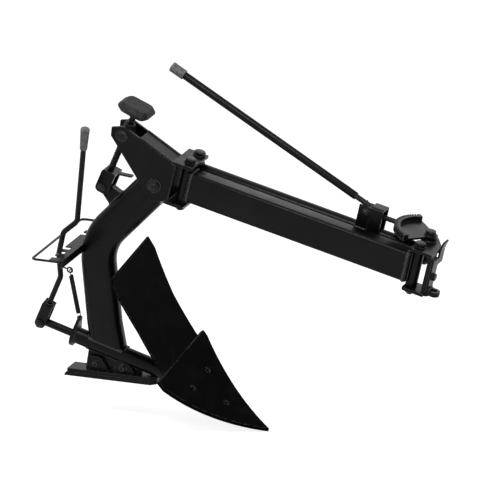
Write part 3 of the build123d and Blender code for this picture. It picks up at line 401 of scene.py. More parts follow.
def clouded(tree, coords, size, detail, low, high, paint, other):
    """A paint clouded with another in patches of a size in millimetres: the patches and the colour."""
    cloud = add_node(tree, "TexNoise", {"Vector": coords, "Scale": per_mm(size), "Detail": detail})
    patches = add_node(tree, "MapRange", {"Value": cloud, "From Min": low, "From Max": high})
    return patches, add_node(tree, "Mix", {0: patches, 6: rgba(paint), 7: rgba(other)}, data_type="RGBA")


def worn_and_highlit_edges(tree, coords, paint, rim_wear_and_highlight):
    """Paint that gives way to a lighter rim colour within 1.6 mm of the edges, in patches of 9 mm: partly
    paint that handling rubs thin, partly painted highlight where light catches the edges, inner corners too."""
    flat = add_node(tree, "NewGeometry").outputs["Normal"]
    eased_off = add_node(tree, "Bevel", {"Radius": mm(1.6)}, samples=6)
    level = add_node(tree, "VectorMath", {0: eased_off, 1: flat}, operation="DOT_PRODUCT").outputs["Value"]
    edge = add_node(tree, "MapRange", {"Value": level, "From Min": 0.99, "From Max": 0.9})
    patches = add_node(tree, "TexNoise", {"Vector": coords, "Scale": per_mm(9), "Detail": 4})
    broken = add_node(tree, "MapRange", {"Value": patches, "From Min": 0.38, "From Max": 0.55})
    # Lighter rims: painted highlight on the edges, with some paint worn thin.
    rubbed = add_node(tree, "Math", {0: edge, 1: broken}, operation="MULTIPLY")
    return add_node(tree, "Mix", {0: rubbed, 6: paint, 7: rgba(rim_wear_and_highlight)}, data_type="RGBA")


def relief(tree, coords, size, detail, depth):
    """Bumps of a size and a depth in millimetres."""
    lumps = add_node(tree, "TexNoise", {"Vector": coords, "Scale": per_mm(size), "Detail": detail})
    return add_node(tree, "Bump", {"Height": lumps, "Distance": mm(depth)})


# Range that most of a noise falls in, for a roughness that follows it.
MOST = {"From Min": 0.3, "From Max": 0.7}


def sprayed_enamel(colours):
    """Black chassis enamel sprayed over mill-scaled steel: even satin black with orange peel, a dusty
    bloom in broad patches and lighter outer edges, partly thin paint and partly painted highlight."""
    tree, shader, coords = start_finish("sprayed enamel")
    _, paint = clouded(tree, coords, 90, 2, 0.35, 0.75, colours.enamel, colours.enamel_dusty)
    drift = add_node(tree, "TexNoise", {"Vector": coords, "Scale": per_mm(40), "Detail": 2})
    # Mill scale and rolling leave the plates slightly wavy. Orange peel of 2 mm is drawn at 3 mm so
    # that it shows.
    wavy = relief(tree, coords, 22, 2, 0.35)
    plug(tree, shader, {
        "Base Color": worn_and_highlit_edges(tree, coords, paint, colours.thin_enamel_and_edge_highlight),
        "Roughness": add_node(tree, "MapRange", {"Value": drift, **MOST, "To Min": 0.26, "To Max": 0.35}),
        "IOR": 1.5,
        "Specular IOR Level": colours.enamel_gloss,
        "Normal": plug(tree, relief(tree, coords, 3, 1, 0.12), {"Normal": wavy}),
    })


def sheet_enamel(colours):
    """Thin black enamel on rolled steel sheet: deeper black and almost without gloss, which is painted shade
    that keeps the mouldboard as dark as its unlit face; faint streaks along the rolling, a few dull handling
    marks and lighter edges, partly thin paint and partly painted highlight."""
    tree, shader, coords = start_finish("sheet enamel")
    # Rolling streaks are 4 mm wide and sixteen times as long.
    along = add_node(tree, "Mapping", {"Vector": coords, "Scale": (1, 1, 1 / 16)})
    streaks = add_node(tree, "TexNoise", {"Vector": along, "Scale": per_mm(4), "Detail": 3, "Roughness": 0.6})
    _, paint = clouded(tree, coords, 60, 3, 0.52, 0.7, colours.sheet, colours.sheet_mark)
    pressed = relief(tree, coords, 60, 2, 0.5)
    plug(tree, shader, {
        "Base Color": worn_and_highlit_edges(tree, coords, paint, colours.thin_enamel_and_edge_highlight),
        "Roughness": add_node(tree, "MapRange", {"Value": streaks, **MOST, "To Min": 0.34, "To Max": 0.48}),
        "IOR": 1.5,
        "Specular IOR Level": colours.sheet_gloss,
        "Normal": add_node(tree, "Bump", {"Height": streaks, "Distance": mm(0.05), "Normal": pressed}),
    })


def painted_casting(colours):
    """Sand-cast iron under black paint, greyer than the frame's enamel and lightened further as painted light
    so that the knob's top renders bright: a coarse pebbled skin of about 1.8 mm grain over a lumpy surface,
    with lighter edges, partly rubbed paint and partly painted highlight."""
    tree, shader, coords = start_finish("painted casting")
    _, paint = clouded(tree, coords, 14, 4, 0.4, 0.75, colours.casting, colours.enamel_dusty)
    grain = add_node(tree, "TexNoise", {"Vector": coords, "Scale": per_mm(1.8), "Detail": 3})
    lumpy = relief(tree, coords, 9, 2, 0.4)
    plug(tree, shader, {
        "Base Color": worn_and_highlit_edges(tree, coords, paint, colours.thin_enamel_and_edge_highlight),
        "Roughness": add_node(tree, "MapRange", {"Value": grain, **MOST, "To Min": 0.42, "To Max": 0.6}),
        "IOR": 1.5,
        "Specular IOR Level": colours.enamel_gloss,
        "Normal": add_node(tree, "Bump", {"Height": grain, "Distance": mm(0.2), "Normal": lumpy}),
    })


def black_oxide(colours):
    """Blackened steel fasteners with a trace of oil: a metal in small patches of darker and lighter oxide,
    and lighter within 1.6 mm of its edges, partly steel rubbed by the spanner and partly painted highlight."""
    tree, shader, coords = start_finish("black oxide")
    _, skin = clouded(tree, coords, 6, 4, 0.35, 0.7, colours.oxide, colours.oxide_light)
    fine = add_node(tree, "TexNoise", {"Vector": coords, "Scale": per_mm(3), "Detail": 3})
    plug(tree, shader, {
        "Base Color": worn_and_highlit_edges(tree, coords, skin, colours.rubbed_steel_and_highlight),
        "Metallic": 0.75,
        "Roughness": add_node(tree, "MapRange", {"Value": fine, **MOST, "To Min": 0.32, "To Max": 0.5}),
        "Normal": relief(tree, coords, 1.6, 2, 0.06),
    })


def painted_weld(colours):
    """Arc weld painted over with the rest: a rippled bead whose skin is rougher, with lumps of about 4 mm
    whose raised tops are lighter, partly a greyer paint skin and partly painted highlight that makes the bead
    read bright."""
    tree, shader, coords = start_finish("painted weld")
    grit = add_node(tree, "TexNoise", {"Vector": coords, "Scale": per_mm(4), "Detail": 4, "Roughness": 0.7})
    # Lighter flecks where the grit is raised: partly greyer paint skin, partly painted highlight.
    grit_flecks_and_highlight = add_node(tree, "MapRange", {"Value": grit, "From Min": 0.45, "From Max": 0.7})
    skin = add_node(tree, "Mix", {0: grit_flecks_and_highlight, 6: rgba(colours.enamel), 7: rgba(colours.weld)}, data_type="RGBA")
    plug(tree, shader, {
        "Base Color": skin,
        "Roughness": add_node(tree, "MapRange", {"Value": grit, **MOST, "To Min": 0.34, "To Max": 0.52}),
        "IOR": 1.5,
        "Specular IOR Level": colours.weld_gloss,
        "Normal": add_node(tree, "Bump", {"Height": grit, "Distance": mm(0.9)}),
    })


def worn_rubber(colours):
    """Moulded black rubber gone grey with dust and handling: matt and finely pebbled."""
    tree, shader, coords = start_finish("worn rubber")
    dust, skin = clouded(tree, coords, 8, 5, 0.35, 0.7, colours.rubber, colours.rubber_dusty)
    plug(tree, shader, {
        "Base Color": skin,
        "Roughness": add_node(tree, "MapRange", {"Value": dust, "To Min": 0.6, "To Max": 0.78}),
        "IOR": 1.52,
        "Normal": relief(tree, coords, 1.2, 2, 0.08),
    })


def spring_steel(colours):
    """Oil-tempered spring and screw steel: drawn metal under a dark oil film, semi-bright."""
    tree, shader, coords = start_finish("spring steel")
    film, skin = clouded(tree, coords, 7, 4, 0.35, 0.7, colours.oxide, colours.oxide_light)
    plug(tree, shader, {
        "Base Color": skin,
        "Metallic": 0.8,
        "Roughness": add_node(tree, "MapRange", {"Value": film, "To Min": 0.3, "To Max": 0.46}),
        "Normal": relief(tree, coords, 1.4, 2, 0.05),
    })


FINISHES = [
    sprayed_enamel, sheet_enamel, painted_casting, black_oxide, painted_weld, worn_rubber, spring_steel,
]
# Nodes that aren't plain enamel.
NODE_FINISHES = {
    # The head's web takes the dull sheet paint, not the frame's enamel, so that its face inside the head
    # renders dark: painted shade.
    "sheet enamel": ["mouldboard", "share", "head_web"],
    "painted casting": ["depth_knob", "trunnion", "pawl_lever"],
    "black oxide": [
        "front_beam_pin", "front_link_pin", "rear_beam_pin", "rear_link_pin", "leg_pivot_bolt",
        "lever_pin", "screw_yoke_pin", "turn_pin", "heel_bolts",
    ],
    "spring steel": ["depth_screw", "turn_spring", "guard_wire", "spring_eye"],
    "worn rubber": ["turning_grip", "width_lever_grip"],
}


def finish_of(node):
    """Finish of a CAD node."""
    return next((name for name, nodes in NODE_FINISHES.items() if node in nodes), "sprayed enamel")


class PLOUGH_OT_finishes(Operator):
    """Makes the finishes and gives one to every CAD node"""

    bl_idname = "plough.finishes"
    bl_label = "Finishes"

    def execute(self, context):
        for make in FINISHES:
            make(context.scene.plough_colours)
        for node, piece in frame["nodes"].items():
            painted(piece, finish_of(node))
        return {"FINISHED"}


# ---------------------------------------------------------------- settings
def colour_setting(name, description, code):
    """Colour property with its default from sRGB hex."""
    return FloatVectorProperty(
        name=name, description=description, default=linear(code), size=3, min=0, max=1, subtype="COLOR"
    )


def number_setting(name, description, value, **kind):
    """Number property, with its unit or subtype if it has one."""
    return FloatProperty(name=name, description=description, default=value, **kind)


def length_setting(name, description, value):
    """Length property with its default in millimetres."""
    return number_setting(name, description, mm(value), min=0, unit="LENGTH")


class PloughColours(PropertyGroup):
    enamel: colour_setting("Enamel", "Satin black paint on the frame", "#050506")
    enamel_dusty: colour_setting("Dusty enamel", "Paint under a light bloom of dust", "#0c0c0d")
    # Lighter rim colour on painted edges: partly thin paint, partly painted highlight where light catches the
    # edges.
    thin_enamel_and_edge_highlight: colour_setting("Thin enamel", "Greyer paint where it is thin on edges", "#606062")
    # Sheet paint a shade deeper than the enamel, with the sheet gloss below: painted shade that keeps the
    # mouldboard as dark as its unlit face.
    sheet: colour_setting("Sheet enamel", "Thin paint on the share and mouldboard", "#040405")
    sheet_mark: colour_setting("Sheet marks", "Dull handling marks on the sheets", "#0b0b0c")
    # Greyer paint for the rough castings, lightened further as painted light so the knob's top renders as
    # bright as a lit top.
    casting: colour_setting("Casting", "Paint on the knob and trunnion", "#28282a")
    oxide: colour_setting("Black oxide", "Blackened fasteners", "#141416")
    oxide_light: colour_setting("Light oxide", "Blackened steel where the oil is thin", "#1d1d1f")
    # Lighter rim colour on the fasteners' edges: partly steel rubbed by the spanner, partly painted
    # highlight.
    rubbed_steel_and_highlight: colour_setting("Rubbed steel", "Corners rubbed by the spanner", "#626264")
    # Lighter flecks on the welds' raised grit: partly greyer paint skin, partly painted highlight.
    weld: colour_setting("Weld", "Raised grit on painted welds", "#4a4a4b")
    rubber: colour_setting("Rubber", "Rubber in its grooves", "#3a3a3b")
    rubber_dusty: colour_setting("Dusty rubber", "Rubber gone grey with handling", "#6b6b6d")
    enamel_gloss: number_setting("Enamel gloss", "Specular level of the enamel", 0.11)
    weld_gloss: number_setting("Weld gloss", "Specular level of painted welds", 0.35)
    sheet_gloss: number_setting("Sheet gloss", "Specular level of sheet paint", 0.01)


class PloughSizes(PropertyGroup):
    bead: length_setting("Weld bead", "Width of the fillet welds", 7.0)
    thread_pitch: length_setting("Thread pitch", "Pitch of the depth screw's trapezoid thread", 5.0)
    spring_wire: length_setting("Spring wire", "Diameter of the turning spring's wire", 2.4)
    washer: length_setting("Washer", "Thickness of the washers", 2.0)


class PloughStudio(PropertyGroup):
    floor_colour: colour_setting("Floor", "Pale floor and backdrop", "#c4c4c3")
    key_power: number_setting("Key light", "Strip overhead", 62.0, unit="POWER")
    floor_glow: number_setting("Floor glow", "White added to the floor where it is seen", 0.82)
    back_power: number_setting("Back light", "Softbox behind", 3.0, unit="POWER")
    left_power: number_setting("Left light", "Softbox at left", 14.0, unit="POWER")
    side_power: number_setting("Side light", "Fill from the right", 4.0, unit="POWER")
    azimuth: number_setting("Azimuth", "View's turn from square abeam", radians(21.4), subtype="ANGLE")
    elevation: number_setting("Elevation", "View's height", radians(18.3), subtype="ANGLE")
    span: length_setting("View", "Width of the view", 1225.0)


def size_of(name):
    """A size that the user can change, in millimetres."""
    return mm_of(getattr(bpy.context.scene.plough_sizes, name))


# ---------------------------------------------------------------- eased plates, tubes and castings
# Node and edge in millimetres of each CAD piece that is shown with its edges rounded.
EASED = [
    ("hitch_top_plate", 0.9), ("hitch_bottom_plate", 0.9), ("hitch_web", 0.9), ("hitch_tongue", 1.2),
    ("hitch_guide", 0.9), ("sector", 0.5), ("beam_tube", 0.5), ("beam_front_barrel", 0.7),
    ("beam_rear_barrel", 0.7), ("link_tube", 0.4), ("link_front_barrel", 0.7), ("link_rear_barrel", 0.7),
    ("lever_ears", 0.7), ("lever_strap", 0.7), ("pawl_lever", 0.8), ("width_lever_tube", 0.5),
    ("head_top_plate", 0.9), ("head_bottom_plate", 0.9), ("head_web", 0.9), ("head_side_right", 1.0),
    ("head_side_left", 1.0), ("head_bridge", 0.8), ("trunnion", 0.8), ("depth_knob", 1.6),
    ("screw_yoke", 1.4), ("yoke_tab", 0.8), ("leg_tube", 0.8), ("yoke_lug", 0.9), ("bearing_tube", 0.8),
    ("foot_plate", 0.9), ("heel_bar", 1.0), ("sole_plate", 1.2), ("comb", 0.6), ("body_shaft", 0.8),
    ("mouldboard", 0.7), ("share", 0.9), ("frog", 0.9), ("turn_yoke", 1.0), ("turning_lever", 0.0),
    ("guard_wire", 0.0),
]


def eased(node, width):
    """Copy of a CAD node with its flat faces whole again and its edges rounded."""
    alone(frame["nodes"][node])
    bpy.ops.object.duplicate()
    piece = bpy.context.object
    del piece["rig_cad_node"]
    reshape(
        piece,
        lambda centre, normal: True,
        lambda: bpy.ops.mesh.remove_doubles(threshold=mm(0.002)),
        lambda: bpy.ops.mesh.dissolve_limited(angle_limit=radians(0.4)),
    )
    if width:
        rounded(piece, width)
    finished(piece, node + "_shown", node_body[node], finish_of(node), replaces=[node])
    # Plates are shaded flat up to their rounded edges, tubes softly round their corners.
    if not node.endswith("_tube"):
        modified(piece, "WEIGHTED_NORMAL", keep_sharp=True)


class PLOUGH_OT_plates(Operator):
    """Shows the plates, tubes and castings with rounded edges and their finishes"""

    bl_idname = "plough.plates"
    bl_label = "Plates, tubes and castings"

    def execute(self, context):
        for node, width in EASED:
            eased(node, width)
        return {"FINISHED"}


# ---------------------------------------------------------------- fasteners
BOLT_PITCH = 1.75


def hexagon(flats, low, tall):
    """Hexagon head or nut along z, its upper corners turned off to a cone of 30 degrees."""
    corner = flats / 2 / cos(radians(30))
    face_r = flats / 2 * 0.94
    cone = (corner - face_r) * tan(radians(30))
    shrink = face_r / corner
    piece = round_bar(corner, low, low + tall - cone, 72)
    top = mm(low + tall - cone)
    reshape(
        piece,
        lambda centre, normal: normal.z > 0.9 and centre.z > top - mm(0.1),
        lambda: bpy.ops.mesh.extrude_region_move(TRANSFORM_OT_translate={"value": (0, 0, mm(cone))}),
        lambda: bpy.ops.transform.resize(value=(shrink, shrink, 1)),
    )
    for side in range(6):
        out = Vector((cos(radians(60 * side)), sin(radians(60 * side)), 0))
        reshape(
            piece,
            lambda centre, normal: True,
            lambda: bpy.ops.mesh.bisect(
                plane_co=out * mm(flats / 2), plane_no=out, use_fill=True, clear_outer=True
            ),
        )
    return rounded(piece, 0.3, 1, 20)


def nut(flats, top, tall):
    """Nut along z that hangs below a height."""
    upside_down = Matrix.Rotation(pi, 4, "X")
    return settled(hexagon(flats, 0, tall), Matrix.Translation((0, 0, mm(top))) @ upside_down)


def washer(radius, low, tall):
    """Plain washer along z, with its punched edge rounded."""
    return rounded(round_bar(radius, low, low + tall, 56), 0.4, 2)


def threaded_end(radius, pitch, low, high):
    """End of a bolt along z with its thread's crests as a helix."""
    core = rounded(round_bar(radius * 0.9, low, high, 40), radius * 0.12, 2)
    turns = (high - low - pitch) / pitch
    crest = helix(radius * 0.93, pitch, turns, low + pitch * 0.6)
    return joined([core, wire(crest, pitch * 0.28, 1)])


def fastener(node, base, radius, low, high, flats, head, body, end=5.0, wide=1.25):
    """Bolt along z whose grip runs from low to high: its head above, its nut and threaded end below,
    and a washer under each, wider than the flats by a factor."""
    thick = size_of("washer")
    nut_tall = head * 0.9
    parts = [
        hexagon(flats, high + thick, head),
        round_bar(radius, low - thick, high + thick, 40),
        nut(flats, low - thick, nut_tall),
        threaded_end(radius, BOLT_PITCH, low - thick - nut_tall - end, low),
        washer(flats / 2 * wide, high, thick),
        washer(flats / 2 * wide, low - thick, thick),
    ]
    finished(settled(joined(parts), base), node + "_shown", body, "black oxide", replaces=[node])


class PLOUGH_OT_upright_pins(Operator):
    """Makes the four upright pins of the beam and the link"""

    bl_idname = "plough.upright_pins"
    bl_label = "Upright pins"

    def execute(self, context):
        # Node, place, lower and upper end of the grip, body and turn of the head. They are pins of 16 mm
        # with heads of 26 by 9 mm.
        pins = [
            ("front_beam_pin", HITCH, -PLATES_OUT, PLATES_OUT, "hitch", 8),
            ("front_link_pin", HITCH_LINK, LINK_PIN_LOW, SECTOR_TOP, "hitch", 22),
            ("rear_beam_pin", HEAD, -PLATES_OUT, PLATES_OUT, "head", 15),
            ("rear_link_pin", moved(HEAD, y=LINK_LEFT), -PLATES_OUT, PLATES_OUT, "head", 38),
        ]
        for node, base, low, high, body, turn in pins:
            fastener(node, turned(base, turn, "Z"), 8, low, high, 26, 9, body)
        return {"FINISHED"}


class PLOUGH_OT_cross_bolts(Operator):
    """Makes the bolts that lie across the plough"""

    bl_idname = "plough.cross_bolts"
    bl_label = "Cross bolts"

    def execute(self, context):
        # Node, place, half grip, radius, flats, head, washer, body and turn. The nuts are on the right.
        bolts = [
            ("leg_pivot_bolt", LEG.translation, 34, 8, 26, 9, 1.45, "head", 12),
            ("lever_pin", LEVER.translation, 16, 5, 17, 6.5, 1.2, "link", 40),
            ("screw_yoke_pin", YOKE, 25, 5, 17, 6.5, 1.2, "screw", 25),
        ]
        for node, place, half, radius, flats, head, wide, body, turn in bolts:
            base = turned(axes(place, beam_ahead, LEFT), turn, "Z")
            fastener(node, base, radius, -half, half, flats, head, body, 4.0, wide)
        base = turned(turned(CROSS_PIN, -90, "X"), 18, "Z")
        fastener("turn_pin", base, 5, -YOKE_HALF, YOKE_HALF, 17, 6.5, "plough_body", 3.0, 1.15)
        return {"FINISHED"}


def socket_head(radius, low, tall, key):
    """Button head along z with a hexagon socket."""
    piece = rounded(round_bar(radius, low, low + tall), 1.2, 3)
    cutter = started(
        bpy.ops.mesh.primitive_cylinder_add,
        vertices=6, radius=mm(key / 2), depth=mm(tall), location=(0, 0, mm(low + tall)),
    )
    modified(piece, "BOOLEAN", object=cutter, operation="DIFFERENCE", solver="EXACT")
    bpy.data.objects.remove(cutter)
    return piece


class PLOUGH_OT_heel_bolts(Operator):
    """Makes the two socket-head bolts that hold the heel to the foot plate"""

    bl_idname = "plough.heel_bolts"
    bl_label = "Heel bolts"

    def execute(self, context):
        pair = []
        # Behind and below the leg's pivot.
        for back, down in ((164, 494.05), (92, 498.05)):
            parts = [
                socket_head(8.5, 15, 6.5, 8.5),
                round_bar(5, -12, 16, 40),
                threaded_end(5, 1.5, -16, -5),
                washer(10.5, 14, 1.2),
                washer(10, -6.2, 1.2),
                nut(17, -6, 5.5),
            ]
            base = axes(moved(LEG, x=-back, z=-down).translation, (1, 0, 0), LEFT * -1)
            pair.append(settled(joined(parts), base))
        finished(joined(pair), "heel_bolts_shown", "leg", "black oxide", replaces=["heel_bolts"])
        return {"FINISHED"}


def on_face(node, base, s, t):
    """Point and outward normal where a line down the base's z meets a CAD node."""
    mesh = frame["nodes"][node].data
    tree = BVHTree.FromPolygons([v.co for v in mesh.vertices], [face.vertices for face in mesh.polygons])
    above = base @ Vector((mm(s), mm(t), 0.5))
    place, normal = tree.ray_cast(above, base.to_3x3() @ Vector((0, 0, -1)))[:2]
    if place is None:
        raise RuntimeError("no face of " + node + " under the bolt")
    return place, normal


class PLOUGH_OT_share_bolts(Operator):
    """Makes the countersunk bolts that hold the share to the frog"""

    bl_idname = "plough.share_bolts"
    bl_label = "Share bolts"

    def execute(self, context):
        heads = []
        # Ahead of the shaft's joint and to the left of its axis.
        for ahead, left in ((248, 45), (248, -45), (328, 0)):
            place, normal = on_face("share", BODY, ahead, left)
            head = lathed([(7, -4), (9.2, -0.2), (9.2, 1.1), (8.3, 1.6), (5.8, 1.6), (5, 0.4)])
            heads.append(settled(head, axes(place, normal.cross(LEFT), normal)))
        finished(joined(heads), "share_bolts", "plough_body", "sheet enamel")
        return {"FINISHED"}


# ---------------------------------------------------------------- depth screw, grips and spring
class PLOUGH_OT_depth_screw(Operator):
    """Makes the depth screw with its trapezoid thread, and the ring on the trunnion's journals"""

    bl_idname = "plough.depth_screw"
    bl_label = "Depth screw"

    def execute(self, context):
        pitch = size_of("thread_pitch")
        top = SCREW_SPAN + SCREW_OVER
        neck = top - 16
        core = lathed([
            (6.6, YOKE_RISE), (6.9, YOKE_RISE + 1), (6.9, neck), (8.6, neck + 1.2), (8.6, top - 1.5),
            (8.6, top + 1),
        ])
        turns = (neck - YOKE_RISE - pitch) / pitch
        crest = wire(helix(7.6, pitch, turns, YOKE_RISE + pitch / 2), pitch * 0.27, 1)
        hub = lathed([(13, top - 7), (14, top - 6), (14, top - 1), (15.5, top)])
        piece = settled(joined([core, crest, hub]), SCREW)
        finished(piece, "depth_screw_shown", "screw", "spring steel", replaces=["depth_screw"])

        rings = []
        for way in (1, -1):
            cap = lathed([
                (11, 34.2), (15.5, 34.2), (16, 34.7), (16, 36), (15.4, 36.4), (11, 36.4), (10.4, 37.3),
                (4, 37.3),
            ])
            rings.append(settled(cap, axes(TRUNNION, beam_ahead, LEFT * way)))
        finished(joined(rings), "trunnion_rings", "trunnion", "black oxide")
        return {"FINISHED"}


class PLOUGH_OT_grips(Operator):
    """Makes the two rubber grips, ribbed round"""

    bl_idname = "plough.grips"
    bl_label = "Grips"

    def execute(self, context):
        start, end = LEVER_TUBE_LONG - 30, LEVER_TUBE_LONG + 10
        profile = [(10.2, start), (12.6, start), (13.2, start + 1)]
        for step in range(6):
            rib = start + 4.5 + step * 5
            profile += [(13.2, rib - 1), (12.4, rib), (12.4, rib + 1), (13.2, rib + 2)]
        profile += [(13.3, end - 4), (12.4, end - 1.5), (10, end - 0.3), (5, end)]
        grip = settled(lathed(profile), LEVER_TUBE)
        finished(grip, "width_lever_grip_shown", "width_lever", "worn rubber", replaces=["width_lever_grip"])

        below, above = [CROSS_PIN @ Vector((mm(ahead), 0, mm(up))) for up, ahead in (TURN_BEND, TURN_TOP)]
        way = (above - below).normalized()
        base = axes(above - way * mm(54), way.cross(LEFT) * -1, way)
        profile = [(7.2, 0), (9.2, 0), (9.6, 1)]
        for step in range(5):
            low = 8 + step * 9.5
            radius = 9.5 + 2.4 * low / 62
            groove = radius - 0.8
            profile += [(radius, low), (groove, low + 0.8), (groove, low + 1.8), (radius + 0.1, low + 2.6)]
        profile += [(11.8, 57), (11.9, 59), (10.8, 61), (8, 61.8), (4, 62)]
        grip = settled(lathed(profile), base)
        finished(grip, "turning_grip_shown", "plough_body", "worn rubber", replaces=["turning_grip"])
        return {"FINISHED"}


class PLOUGH_OT_spring_eye(Operator):
    """Makes the wire eye welded to the turning lever for its spring"""

    bl_idname = "plough.spring_eye"
    bl_label = "Spring eye"

    def execute(self, context):
        # The wire leaves the lever and closes on itself in a round eye.
        stem = [(20, 0, 0), (30, 0, 0)]
        eye = [
            (EYE_AHEAD - 6.8 * cos(radians(a)), 1.2 - a / 150, 6.8 * sin(radians(a)))
            for a in range(0, 351, 15)
        ]
        piece = settled(wire(stem + eye, 2.1, 3), moved(CROSS_PIN, z=EYE_UP))
        finished(piece, "spring_eye_shown", "plough_body", "spring steel", 50, replaces=["spring_eye"])
        return {"FINISHED"}


class PLOUGH_OT_turn_spring(Operator):
    """Makes the turning spring, a close coil with a hook in the flange's ear and one in the lever's eye"""

    bl_idname = "plough.turn_spring"
    bl_label = "Turning spring"

    def execute(self, context):
        ear = moved(SHAFT, x=-BEARING_BACK + 4, z=FLANGE_EAR_UP).translation
        eye = moved(CROSS_PIN, x=EYE_AHEAD, z=EYE_UP).translation
        span = mm_of((eye - ear).length)
        wide = size_of("spring_wire") / 2
        way = (eye - ear).normalized()
        base = axes(ear, shaft_ahead - way * shaft_ahead.dot(way), way)
        first, last = 18, span - 17
        # The lower hook lies ahead and behind the ear, the upper one to the left and right of the eye.
        low_hook = [(5.6 * cos(radians(a)), 0, 4.3 + 5.6 * sin(radians(a))) for a in range(120, 395, 18)]
        high_hook = [(0, 5 * cos(radians(a)), span - 3.6 + 5 * sin(radians(a))) for a in range(-120, 155, 18)]
        coil = helix(4.8, wide * 2 + 0.12, (last - first) / (wide * 2 + 0.12), first)
        points = low_hook + [(4.8, 0, 12)] + coil + [(0, -3.5, span - 11)] + high_hook
        spring = named(settled(wire(points, wide, 2), base), "turn_spring_shown", "spring steel", 50)
        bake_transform(spring)
        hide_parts("turn_spring")
        return {"FINISHED"}


class PLOUGH_OT_hitch_bolt(Operator):
    """Makes the bolt on the front of the bracket's face plate"""

    bl_idname = "plough.hitch_bolt"
    bl_label = "Hitch bolt"

    def execute(self, context):
        front = turned(moved(HITCH, x=51, z=-8), 90, "Y")
        parts = [washer(10.5, 0, 1.6), hexagon(17, 1.6, 6.4)]
        finished(settled(joined(parts), front), "hitch_face_bolt", "hitch", "black oxide")
        return {"FINISHED"}


# ---------------------------------------------------------------- welds
RIPPLE_GAP = 2.6    # between the points of a bead, of which every other one is thinner by this share
RIPPLE = 0.28


def spaced(points, gap, closed):
    """Points about a gap apart along straight runs, in millimetres."""
    places = []
    ends = points[1:] + points[:1] if closed else points[1:]
    for start, end in zip(map(Vector, points), map(Vector, ends)):
        count = max(1, round((end - start).length / gap))
        places += [start.lerp(end, step / count) for step in range(count)]
    return places if closed else places + [Vector(points[-1])]


def ring(radius, height, first=0.0, last=360.0):
    """Points round z at a height, every 15 degrees or so."""
    count = max(2, round((last - first) / 15))
    angles = [radians(first + (last - first) * step / count) for step in range(count + (last - first < 360))]
    return [(radius * cos(angle), radius * sin(angle), height) for angle in angles]


def hoop(x, radius, first=0.0, last=360.0):
    """Points round x at a place along it, from upright."""
    return [(x, across, up) for up, across, _ in ring(radius, 0, first, last)]


def rounded_frame(x, half_wide, half_tall, corner):
    """Points round a rectangular tube at a place along x."""
    points = []
    for start, side, rise in ((0, 1, 1), (90, -1, 1), (180, -1, -1), (270, 1, -1)):
        for angle in (start, start + 45, start + 90):
            turn = radians(angle)
            points.append((
                x,
                side * (half_wide - corner) + corner * cos(turn),
                rise * (half_tall - corner) + corner * sin(turn),
            ))
    return points


